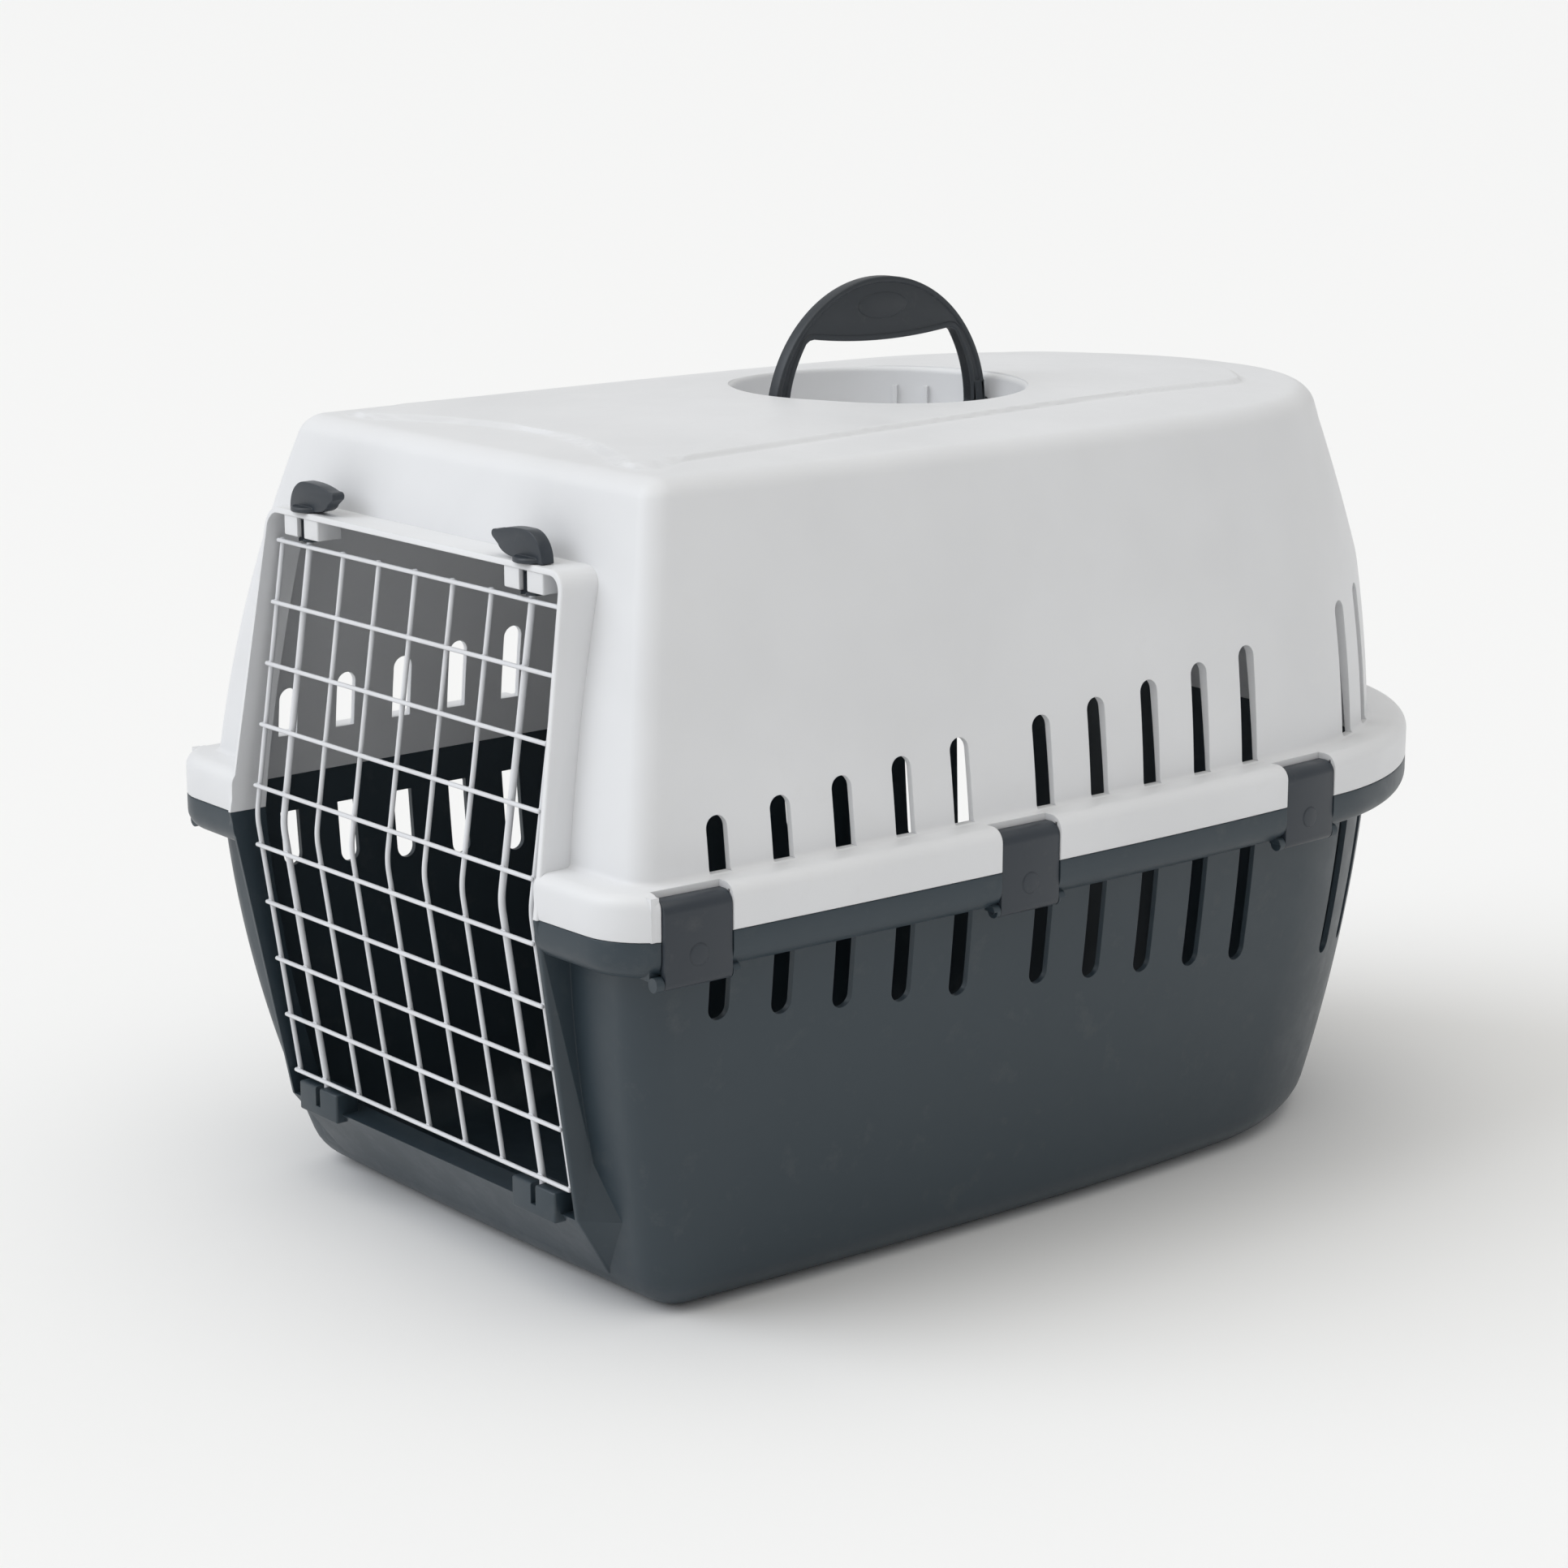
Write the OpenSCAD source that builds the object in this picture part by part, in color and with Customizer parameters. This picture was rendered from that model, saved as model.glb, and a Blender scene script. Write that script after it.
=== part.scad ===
// Two-part moulded pet carrier with a coated wire door, swinging latches,
// side clips and a folding carrying handle.
// Millimetres. +Z is up, the door faces -Y, and the origin is at the middle of the
// footprint on the surface that the carrier stands on.

/* [Overall] */
// Width over the joining flange
overall_w = 405; // [330:1:490]
// Length over the joining flange
overall_l = 605; // [500:1:730]
// Height of the middle of the roof
roof_h = 397; // [380:1:480]
// Height of the line where the two shells meet
parting_z = 197.3; // [190:0.1:205]

/* [Shells] */
// Wall thickness of both shells
wall = 3; // [2.4:0.1:4]
// How far the flange stands out from the walls
flange_reach = 16; // [13:0.5:20]
// Height of the upper shell's flange
flange_up = 21; // [18:0.5:26]
// Height of the base's flange
flange_down = 18; // [16:0.5:24]
// How far each side wall leans in from the rim to the roof
side_lean_up = 36; // [20:1:50]
// How far each side wall leans in from the rim to the floor
side_lean_down = 31; // [15:1:45]
// How far the front wall leans back from the rim to the roof or the floor
front_lean = 38; // [30:1:42]
// How far the rear wall leans in from the rim to the roof or the floor
rear_lean = 18; // [8:1:40]
// Front corner radius of the upper shell
front_r_up = 11; // [10:1:20]
// Front corner radius of the base
front_r_down = 19; // [18:1:24]
// Corner radius of both shells at the rear
rear_corner_r = 141; // [80:1:145]
// Corner radius of the flange at the front
flange_front_r = 32; // [24:1:40]
// Corner radius of the flange at the rear
flange_rear_r = 150; // [90:1:160]
// Radius of the roof's edge
roof_edge_r = 9; // [7:1:10]
// Radius of the floor's edge
floor_edge_r = 18; // [12:1:18]
// Rise of the roof from its edge to its middle
crown = 7; // [2:0.5:10]

/* [Vent slots] */
// Width of a vent slot
slot_w = 11.5; // [8:0.5:14]
// Distance between slots
slot_pitch = 35.6; // [30:0.2:38]
// Height of the front slot above the upper flange
slot_up_h = 26; // [18:1:40]
// Extra height of each next slot towards the rear
slot_up_step = 3.7; // [0:0.1:5]
// Depth of the front slot below the base's flange
slot_down_h = 29; // [18:1:40]
// Extra depth of each next slot towards the rear
slot_down_step = 3.9; // [0:0.1:5]

/* [Doorway] */
// Half width of the doorway's collar at the parting line
collar_mid_w = 131.2; // [125:0.1:140]
// Half width of the collar at its top and bottom
collar_end_w = 123; // [121:0.1:126]
// Height of the collar's top above the parting line
collar_rise = 152.7; // [150:0.1:156]
// Depth of the sill below the parting line
sill_drop = 149.3; // [146:0.1:152]
// Thickness of the collar
collar_wall = 2.8; // [2.4:0.1:3.2]

/* [Wire door] */
// Diameter of the two thick rods
rod_d = 3.4; // [3:0.1:4]
// Diameter of the upright wires
upright_d = 2.5; // [2:0.1:3]
// Diameter of the cross wires
cross_d = 2.2; // [2:0.1:2.8]
// Distance between the upright wires
wire_pitch = 30.77; // [29:0.01:31.2]
// Number of cross wires
cross_count = 10; // [6:2:12]
// How far the door bulges forward at the parting line
door_bulge = 20.5; // [17:0.5:21]

/* [Latches and clips] */
// Radius of a latch's sleeve
sleeve_r = 4.1; // [3.8:0.1:4.3]
// Height of a latch's fin above the collar
fin_h = 14.4; // [11:0.2:18]
// Reach of a latch's fin towards the middle
fin_reach = 27; // [18:0.5:30]
// Width of a side clip
clip_w = 36.5; // [30:0.5:38]

/* [Handle] */
// Outer radius of the handle's arch
arch_r = 71.5; // [66:0.5:71.5]
// Thickness of the handle's rim
arch_t = 7.6; // [7:0.1:10]
// Radius of the dish in the roof
dish_r = 74.5; // [74:0.5:80]
// Depth of the dish
dish_depth = 29; // [27:0.5:34]

/* [Hidden] */

$fn = 32;
cut = 0.6;                  // how far a cutter runs past a face
fit = 0.1;                  // radial clearance of the turning fits
light_grey = "#D9DBE0";
slate = "#3C464E";
dark_slate = "#2F373C";
coated_wire = "#DDE1E8";

// Plan of the body and the flange
half_w = overall_w / 2;
half_l = overall_l / 2;
rim_w = half_w - flange_reach;
rim_l = half_l - flange_reach;
bow_front = 6;              // the side comes in this much at the front end
bow_rear = 22;              // and this much at the rear end
bow_end = 2.5;              // the end walls are crowned this much
front_steps = 3;
side_steps = 6;
rear_steps = 7;
flange_edge = 5;            // rounding of the flange's outer edge
up_top = parting_z + flange_up;
down_low = parting_z - flange_down;
roof_edge_z = roof_h - crown;

function sq(v) = v * v;
function lean(t, c) = (1 - c) * t + c * t * t;
function flip(list) = [for (i = [len(list) - 1:-1:0]) list[i]];
function bowed(p, w, yf, yr) =
  let (t = p.y / (p.y < 0 ? yf : yr), u = p.x / w)
  [p.x - (p.y < 0 ? bow_front : bow_rear) * t * t * u,
   p.y + (p.y < 0 ? 1 : -1) * bow_end * u * u * abs(t)];
function half_outline(w, yf, yr, rf, rr) = concat(
  [[0, -yf], [(w - rf) / 2, -yf]],
  [for (i = [0:front_steps]) let (a = -90 + 90 * i / front_steps)
    [w - rf + rf * cos(a), -yf + rf + rf * sin(a)]],
  [for (i = [1:side_steps - 1]) [w, -yf + rf + (yr - rr + yf - rf) * i / side_steps]],
  [for (i = [0:rear_steps]) let (a = 90 * i / rear_steps)
    [w - rr + rr * cos(a), yr - rr + rr * sin(a)]],
  [[0, yr]]);
function outline(w, yf, yr, rf, rr) =
  let (half = [for (p = half_outline(w, yf, yr, rf, rr)) bowed(p, w, yf, yr)])
  concat(half, [for (i = [len(half) - 2:-1:1]) [-half[i].x, half[i].y]]);
function ring(points, z) = [for (p = points) [p.x, p.y, z]];
function shrunk(points, k, z) = [for (p = points) [p.x * k, p.y * k, z]];
function box_ring(w, y0, y1, z) = [[-w, y0, z], [w, y0, z], [w, y1, z], [-w, y1, z]];

// Half width and end places of the body at height z
function above(z) = z > parting_z;
function share(z) = above(z)
  ? (z - parting_z) / (roof_edge_z - parting_z) : (parting_z - z) / parting_z;
function body_w(z) = rim_w
  - (above(z) ? side_lean_up : side_lean_down) * lean(share(z), 0.63);
function body_front(z) = rim_l - front_lean * lean(share(z), above(z) ? 0.55 : 0.79);
function body_rear(z) = rim_l - rear_lean * lean(share(z), 0.63);
function body_ring(z, d) = ring(outline(body_w(z) - d, body_front(z) - d, body_rear(z) - d,
  (above(z) ? front_r_up : front_r_down) - d, rear_corner_r - d), z);
function flange_ring(z, d) = ring(outline(half_w - d, half_l - d, half_l - d,
  flange_front_r - d, flange_rear_r - d), z);
function flange_x(y) = half_w - (y < 0 ? bow_front : bow_rear) * sq(y / half_l);
function flange_angle(y) = atan((flange_x(y + 5) - flange_x(y - 5)) / 10);

// Rings of the roof and of the floor, set in by d
function roof_rings(d) = let (b = roof_edge_r - d) concat(
  [for (a = [0, 30, 60, 90]) body_ring(roof_edge_z - roof_edge_r + b * sin(a),
    d + b * (1 - cos(a)))],
  [for (k = [0.78, 0.5, 0.2])
    shrunk(body_ring(roof_edge_z, roof_edge_r), k, roof_edge_z + crown * (1 - k * k) - d)]);
function floor_rings(d) = let (b = floor_edge_r - d)
  [for (a = [0, 30, 60, 90]) body_ring(floor_edge_r - b * sin(a), d + b * (1 - cos(a)))];
wall_up = [for (k = [0, 0.3, 0.65]) up_top + (roof_edge_z - roof_edge_r - up_top) * k];
wall_down = [for (k = [0, 0.3, 0.65]) down_low - (down_low - floor_edge_r) * k];

// A closed skin over a stack of rings, from the lowest ring upwards
module stack(rings) {
  n = len(rings[0]);
  top = (len(rings) - 1) * n;
  sides = [for (k = [0:len(rings) - 2], i = [0:n - 1])
    let (j = (i + 1) % n, a = k * n, b = a + n) each [[a + i, b + i, b + j], [a + i, b + j, a + j]]];
  polyhedron([for (r = rings) each r],
    concat(sides, [[for (i = [0:n - 1]) i]], [[for (i = [n - 1:-1:0]) top + i]]), convexity = 12);
}

// Outside of the upper shell with the hollow channel of its flange
module top_outer() {
  stack(concat(
    [body_ring(parting_z, 0), body_ring(up_top - wall, 0),
     flange_ring(up_top - wall, wall), flange_ring(parting_z, wall),
     flange_ring(parting_z, 0), flange_ring(up_top - flange_edge, 0),
     flange_ring(up_top - flange_edge * 0.3, flange_edge * 0.3), flange_ring(up_top, flange_edge)],
    [for (z = wall_up) body_ring(z, 0)],
    roof_rings(0)));
}

module top_cavity() {
  stack(concat(
    [ring(body_ring(parting_z, wall), parting_z - cut)],
    [for (z = wall_up) body_ring(z, wall)],
    roof_rings(wall)));
}

// Outside of the base with the hollow channel of its flange
module base_outer() {
  stack(flip(concat(
    [body_ring(parting_z, 0), body_ring(down_low + wall, 0),
     flange_ring(down_low + wall, wall), flange_ring(parting_z, wall),
     flange_ring(parting_z, 0), flange_ring(down_low + flange_edge, 0),
     flange_ring(down_low + flange_edge * 0.3, flange_edge * 0.3),
     flange_ring(down_low, flange_edge)],
    [for (z = wall_down) body_ring(z, 0)],
    floor_rings(0))));
}

module base_cavity() {
  stack(flip(concat(
    [ring(body_ring(parting_z, wall), parting_z + cut)],
    [for (z = wall_down) body_ring(z, wall)],
    floor_rings(wall))));
}

/* Collar round the doorway: it stands proud of the front wall */
collar_top = parting_z + collar_rise;
sill_z = parting_z - sill_drop;
collar_corner = 10;
collar_back = 62;           // how far behind the flange's front the doorway is cut
chin_z = 14;                // height where the sill's apron meets the front wall
apron_side = 15;            // how far the apron's sides slope out to the wall
foot_top = sill_z + 30;     // height where the collar's sides become upright
collar_tilt_up = 23.5;      // how far the collar leans back to its top
collar_tilt_down = 26.5;    // and to the sill

function collar_w(z) = collar_mid_w - (collar_mid_w - collar_end_w)
  * (above(z) ? (z - parting_z) / collar_rise : (parting_z - z) / sill_drop);
function collar_y(z) = -half_l + (above(z) ? collar_tilt_up * (z - parting_z) / collar_rise
  : collar_tilt_down * (parting_z - z) / sill_drop);
function collar_rings(d) = concat(
  [box_ring(collar_w(parting_z) - d, collar_y(parting_z), collar_back - half_l, parting_z)],
  [for (a = [0, 30, 60, 90])
    let (b = collar_corner - d, z = collar_top - collar_corner + b * sin(a))
    box_ring(collar_w(z) - d - b * (1 - cos(a)), collar_y(z), collar_back - half_l, z)]);

module collar_upper() {
  stack(collar_rings(0));
}

// A ring whose sides slope out by s to meet the front wall
function apron_ring(w, y0, s, z) =
  let (inner = wall * 0.9 - body_front(z), back = collar_back - half_l)
  ring([[-w, y0], [w, y0], [w + s, inner], [w + s, back], [-w - s, back], [-w - s, inner]], z);

module collar_lower() {
  stack([
    apron_ring(collar_w(sill_z) - 9, wall * 0.4 - body_front(chin_z), apron_side, chin_z),
    apron_ring(collar_w(sill_z), collar_y(sill_z), apron_side, sill_z),
    apron_ring(collar_w(foot_top), collar_y(foot_top), 0.4, foot_top),
    apron_ring(collar_w(parting_z), collar_y(parting_z), 0.4, parting_z)]);
}

module chin_core() {
  lean_in = wall + 0.8;
  stack([
    box_ring(collar_w(sill_z) - 9 - wall, wall * 1.2 - body_front(chin_z) + 0.5,
      collar_back - half_l, chin_z + wall),
    box_ring(collar_w(sill_z) - wall, collar_y(sill_z) + lean_in, collar_back - half_l,
      sill_z - wall)]);
}

// The doorway itself, cut straight through the collar and the front wall
module doorway_upper() {
  d = collar_wall;
  front = -half_l - cut;
  back = collar_back - half_l + cut;
  stack(concat(
    [box_ring(collar_w(parting_z) - d, front, back, parting_z - cut)],
    [for (a = [0, 30, 60, 90])
      let (b = collar_corner - d, z = collar_top - collar_corner + b * sin(a))
      box_ring(collar_w(z) - d - b * (1 - cos(a)), front, back, z)]));
}

module doorway_lower() {
  d = collar_wall;
  front = -half_l - cut;
  back = collar_back - half_l + cut;
  stack([
    box_ring(collar_w(sill_z) - d, front, back, sill_z),
    box_ring(collar_w(parting_z) - d, front, back, parting_z + cut)]);
}

/* Wire door: the rods turn about upright axes through their ends */
rod_x = 3 * wire_pitch;
edge_x = rod_x + 23.7;
cross_half = edge_x + 1.8;
weld = 0.3;                 // how far a cross wire sinks into an upright
knee_r = 40;                // bend of the cross wires' plane at the parting line
end_bend_r = 8;
end_rise = collar_rise - 15.4;
hinge_y = 28.8 - half_l;
door_tilt = atan(door_bulge / end_rise);
slope_l = end_rise / cos(door_tilt);
knee_y = hinge_y - door_bulge;
stub_up = 10.6;             // upright ends of the rods
rod_back = (rod_d + cross_d) / 2 - weld;
cross_span = slope_l - 1.6;
cross_pitch = 2 * cross_span / (cross_count - 1);

// A bend of a wire that runs up; a positive angle bends it forward
module bend(d, r, a) {
  rotate([0, 0, a < 0 ? 180 : 0])
    translate([0, -r, 0])
      rotate([90, 0, 90])
        rotate_extrude(angle = abs(a))
          translate([r, 0])
            circle(d = d);
}

// The rest of a wire after a bend
module beyond(r, a) {
  translate([0, -sign(a) * r * (1 - cos(a)), r * sin(abs(a))])
    rotate([a, 0, 0])
      children();
}

// Section of a wire at height z whose run there leans back by the angle a
function wire_ring(d, y, z, a) = [for (i = [0:15]) let (t = 22.5 * i)
  [d / 2 * cos(t), y + d / 2 * sin(t) * cos(a), z - d / 2 * sin(t) * sin(a)]];

// A thin upright wire about its knee: straight, bent at the parting line, straight again
module bent_wire(d, length) {
  r = knee_r - (d + cross_d) / 2 + weld;
  straight = length - r * tan(door_tilt);
  end_y = r * (1 - cos(door_tilt)) + straight * sin(door_tilt);
  end_z = r * sin(door_tilt) + straight * cos(door_tilt);
  stack(concat(
    [wire_ring(d, end_y, -end_z, -door_tilt)],
    [for (a = [-1:1 / 3:1.01]) wire_ring(d, r * (1 - cos(a * door_tilt)), r * sin(a * door_tilt), a * door_tilt)],
    [wire_ring(d, end_y, end_z, door_tilt)]));
}

module rod_half() {
  r = knee_r - rod_back;
  t = end_bend_r * tan(door_tilt / 2);
  straight = slope_l - r * tan(door_tilt) - t;
  bend(rod_d, r, -door_tilt);
  beyond(r, -door_tilt) {
    cylinder(d = rod_d, h = straight);
    translate([0, 0, straight]) {
      bend(rod_d, end_bend_r, door_tilt);
      beyond(end_bend_r, door_tilt)
        cylinder(d = rod_d, h = stub_up);
    }
  }
}

// Both halves of a wire, with the knee at its true place behind the cross wires
module at_knee(x, d) {
  r = knee_r - (d + cross_d) / 2 + weld;
  rod_r = knee_r - rod_back;
  translate([x, knee_y + rod_r / cos(door_tilt) - r, parting_z])
    children();
}

module rod(x) {
  color(coated_wire)
    at_knee(x, rod_d)
      for (s = [0, 1])
        mirror([0, 0, s])
          rod_half();
}

module upright(x) {
  color(coated_wire)
    at_knee(x, upright_d)
      bent_wire(upright_d, slope_l - 0.4);
}

// Cross wire number i, counted from the bottom
module cross_wire(i) {
  s = -cross_span + i * cross_pitch;
  bend_y = knee_y + (knee_r - rod_back) / cos(door_tilt) - knee_r / cos(door_tilt);
  color(coated_wire)
    translate([0, bend_y + abs(s) * sin(door_tilt), parting_z + s * cos(door_tilt)])
      rotate([0, 90, 0])
        cylinder(d = cross_d, h = 2 * cross_half, center = true);
}

/* Latches: a sleeve round the rod's upper end, turned by a fin on the collar */
sleeve_low = parting_z + end_rise + 0.9;
foot_t = 1.5;
bracket_low = sleeve_low + foot_t + 0.3;
mouth = rod_d + 0.5;
rod_end_z = parting_z + end_rise + stub_up + 0.6;

module latch() {
  base_z = collar_top + 0.3;
  color(dark_slate)
    translate([rod_x, hinge_y, 0])
      difference() {
        union() {
          translate([0, 0, sleeve_low])
            cylinder(r = sleeve_r, h = base_z + 1 - sleeve_low);
          translate([0, 0, sleeve_low])
            cylinder(r = sleeve_r + 1.5, h = foot_t);
          translate([0, 0, base_z])
            cylinder(r = 9, h = 2.4);
          translate([0, 3, base_z])
            rotate([90, 0, 0])
              linear_extrude(6)
                polygon(fin_points());
        }
        translate([0, 0, sleeve_low - cut])
          cylinder(r = rod_d / 2 + fit, h = rod_end_z + 0.4 - sleeve_low + cut);
        translate([-mouth / 2, -sleeve_r - 2, sleeve_low - cut])
          cube([mouth, sleeve_r + 2, rod_end_z + 0.4 - sleeve_low + cut]);
      }
}

function fin_points() = concat(
  [[12, 0], [11.5, 5]],
  [for (a = [20:14:90]) [-2 + 12.5 * cos(a), fin_h - 8 + 8 * sin(a)]],
  [[-fin_reach + 3, fin_h - 1.6], [-fin_reach, fin_h - 3.6], [-fin_reach + 2, fin_h - 5.2]],
  [for (a = [70:-20:10]) [-8 - 12 * sin(a), fin_h - 6.4 - 7 * (1 - cos(a)) ]],
  [[-8.5, 0]]);

// Bracket under the collar's top for one latch
module bracket() {
  translate([rod_x - 15, hinge_y - 5.2, bracket_low])
    cube([30, 14, collar_top - collar_wall - bracket_low + cut]);
}

module bracket_cuts() {
  translate([rod_x, hinge_y, bracket_low - cut])
    cylinder(r = sleeve_r + fit, h = collar_top + 2 * cut - bracket_low);
  translate([rod_x - 3.1, hinge_y - 8, bracket_low - cut])
    cube([6.2, 8, collar_top - collar_wall - bracket_low + cut]);
}

// Lug on the sill with an open slot for a rod's lower end
lug_top = parting_z - end_rise - 1.6;
lug_low = sill_z - 4.5;
module lug() {
  translate([rod_x - 17, hinge_y - 5.8, lug_low])
    cube([34, 13, lug_top - lug_low]);
}

module lug_cuts() {
  low = parting_z - end_rise - stub_up - 0.8;
  translate([rod_x, hinge_y, low])
    cylinder(r = rod_d / 2 + fit, h = lug_top + cut - low);
  translate([rod_x - mouth / 2, hinge_y - 8, low])
    cube([mouth, 8, lug_top + cut - low]);
}

/* Side clips: each turns on pins at the base's flange */
clip_places = [-263 / 302.5 * half_l, -69 / 302.5 * half_l, 126.5 / 302.5 * half_l];
clip_t = 3.4;
clip_set = 0.6;             // how far the clip lies behind the flange's face
pivot_in = 4;               // how far the clip's axis lies behind the flange's face
pivot_z = down_low - 0.8;
barrel_r = 3.3;
clip_pin_r = 1.7;
clip_gap = 0.3;
clip_top = up_top - 3;
notch_in = 4.7;
hook_in = 11;               // how far the clip's hook reaches over the upper flange
hook_t = 2.4;
cheek = 4.2;
seat_in = 4.5;              // how far the seats' outer faces lie behind the flange's face
knuckle_r = 3.4;

// Local frame of a clip: +X points out of the flange's face
module at_clip(side, y) {
  mirror([side < 0 ? 1 : 0, 0, 0])
    translate([flange_x(y), y, 0])
      rotate([0, 0, -flange_angle(y)])
        children();
}

module along_y(r, h) {
  rotate([90, 0, 0])
    cylinder(r = r, h = h, center = true);
}

module clip(side, place) {
  color(dark_slate)
    at_clip(side, clip_places[place]) {
      translate([-clip_set - clip_t, -clip_w / 2, pivot_z])
        cube([clip_t, clip_w, clip_top - pivot_z]);
      translate([-pivot_in, 0, pivot_z])
        along_y(barrel_r, clip_w);
      translate([-pivot_in, 0, pivot_z])
        along_y(clip_pin_r, clip_w + 2 * (cheek - 1));
      translate([-hook_in, -clip_w / 2, clip_top - hook_t])
        cube([hook_in - clip_set, clip_w, hook_t]);
    }
}

module clip_seat_up() {
  w = clip_w + 2 * clip_gap + 2 * cheek;
  translate([-flange_reach - 0.8, -w / 2, parting_z])
    cube([flange_reach + 0.8 - seat_in, w, flange_up - 1.2]);
}

module clip_seat_down() {
  w = clip_w + 2 * clip_gap + 2 * cheek;
  translate([-13, -w / 2, down_low - 0.8])
    cube([13 - seat_in, w, flange_down + 0.8]);
  translate([-pivot_in, 0, pivot_z])
    along_y(knuckle_r, w);
}

module clip_cuts() {
  w = clip_w + 2 * clip_gap;
  translate([-notch_in, -w / 2, pivot_z])
    cube([notch_in + 3, w, up_top + cut - pivot_z]);
  translate([-pivot_in - barrel_r - clip_gap, -w / 2, pivot_z - 5])
    cube([barrel_r + pivot_in + 3, w, 5]);
  translate([-pivot_in, 0, pivot_z])
    along_y(barrel_r + clip_gap, w);
  translate([-pivot_in, 0, pivot_z])
    along_y(clip_pin_r + fit, w + 2 * cheek + 2);
  translate([-hook_in - clip_gap, -w / 2, clip_top - hook_t - clip_gap])
    cube([hook_in + 3, w, hook_t + 4]);
}

/* Vent slots, in two groups either side of the middle clip */
slot_places = concat(
  [for (k = [4:-1:0]) clip_places[1] - 26.5 - k * slot_pitch],
  [for (k = [0:4]) clip_places[1] + 25.2 + k * slot_pitch]);

// A cutter from z0 up to a rounded end at z1, right through both sides
module slot_cutter(z0, z1) {
  reach = overall_w + 20;
  r = slot_w / 2;
  up = z1 > z0;
  translate([-reach / 2, -r, up ? z0 : z1 + r])
    cube([reach, slot_w, abs(z1 - z0) - r]);
  translate([0, 0, z1 + (up ? -r : r)])
    rotate([0, 90, 0])
      cylinder(r = r, h = reach, center = true);
}

corner_angles = [20, 33.5];
corner_up_h = 70;
corner_down_h = 79;
module at_corner(side, a) {
  mirror([side < 0 ? 1 : 0, 0, 0])
    translate([rim_w - rear_corner_r - 10, rim_l - rear_corner_r - 10, 0])
      rotate([0, 0, a])
        children();
}

// A slot cutter that only reaches one rear corner, rounded at its end z1
module corner_cutter(z0, z1) {
  r = slot_w / 2;
  up = z1 > z0;
  translate([rear_corner_r - 45, -r, up ? z0 : z1 + r])
    cube([75, slot_w, abs(z1 - z0) - r]);
  translate([rear_corner_r - 45, 0, z1 + (up ? -r : r)])
    rotate([0, 90, 0])
      cylinder(r = r, h = 75);
}

/* Dish and handle */
handle_y = 10;
pin_z = roof_h - 16;
dish_floor = roof_h - dish_depth;
handle_pin_r = 4;
inset = 0.8;                // how far the grip's cheeks lie below its rim
rim_band = 3.2;
leg_w = 9.5;

module handle_plate(t) {
  rotate([90, 0, 90])
    linear_extrude(t, center = true)
      children();
}

function opening_side(g) = let (a = arch_r - leg_w)
  [[a + g, 0], [a - 0.4 + g, 12], [a - 2 + g, 22], [a - 5 + g, 33], [a - 10 + g * 0.8, 40 + g * 0.6],
   [a - 16 + g * 0.3, 42.7 + g], [a - 30, 41 + g], [a - 45, 39.9 + g], [0, 39.5 + g]];
function opening(g) = let (half = opening_side(g))
  concat([[arch_r - leg_w + g, -20]], half,
    [for (i = [len(half) - 2:-1:0]) [-half[i].x, half[i].y]], [[leg_w - arch_r - g, -20]]);

module arch_disc(t, r) {
  rotate([0, 90, 0])
    cylinder(r = r, h = t, center = true, $fn = 96);
}

module carry_handle() {
  pin_end = dish_r + wall - 0.4;
  color(slate)
    translate([0, handle_y, pin_z]) {
      difference() {
        union() {
          arch_disc(arch_t - 2 * inset, arch_r);
          difference() {
            arch_disc(arch_t, arch_r);
            arch_disc(arch_t + 2, arch_r - rim_band);
          }
          intersection() {
            arch_disc(arch_t, arch_r - 1);
            translate([-arch_t, -arch_r, 0])
              cube([2 * arch_t, 2 * arch_r, 14]);
          }
          intersection() {
            arch_disc(arch_t, arch_r - 1);
            handle_plate(arch_t)
              polygon(opening(rim_band));
          }
        }
        handle_plate(arch_t + 2)
          polygon(opening(0));
        translate([-arch_t, -arch_r - 1, -2 * arch_r])
          cube([2 * arch_t, 2 * arch_r + 2, 2 * arch_r]);
      }
      for (s = [-1, 1]) {
        translate([0, s * (arch_r - leg_w / 2 - 0.3), 0])
          along_y(arch_t / 2 + 0.9, leg_w - 0.4);
        translate([0, s * (pin_end + arch_r - 4) / 2, 0])
          along_y(handle_pin_r, pin_end - arch_r + 4);
      }
    }
}

module top_shell() {
  cup_top = roof_h - 3.6;
  color(light_grey)
    difference() {
      union() {
        difference() {
          union() {
            top_outer();
            collar_upper();
          }
          top_cavity();
          doorway_upper();
        }
        translate([0, handle_y, dish_floor - wall])
          cylinder(r = dish_r + wall, h = cup_top - dish_floor + wall, $fn = 96);
        for (s = [0, 1])
          mirror([s, 0, 0])
            bracket();
        for (side = [-1, 1], y = clip_places)
          at_clip(side, y)
            clip_seat_up();
      }
      translate([0, handle_y, dish_floor])
        cylinder(r = dish_r, h = dish_depth + 5, $fn = 96);
      translate([0, handle_y, pin_z])
        along_y(handle_pin_r + fit, 2 * (dish_r + wall + 2));
      for (s = [0, 1])
        mirror([s, 0, 0])
          bracket_cuts();
      for (side = [-1, 1], y = clip_places)
        at_clip(side, y)
          clip_cuts();
      for (k = [0:len(slot_places) - 1])
        translate([0, slot_places[k], 0])
          slot_cutter(up_top + cut, up_top + slot_up_h + k * slot_up_step);
      for (side = [-1, 1], k = [0, 1])
        at_corner(side, corner_angles[k])
          corner_cutter(up_top + cut, up_top + corner_up_h + 4 * k);
    }
}

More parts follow.
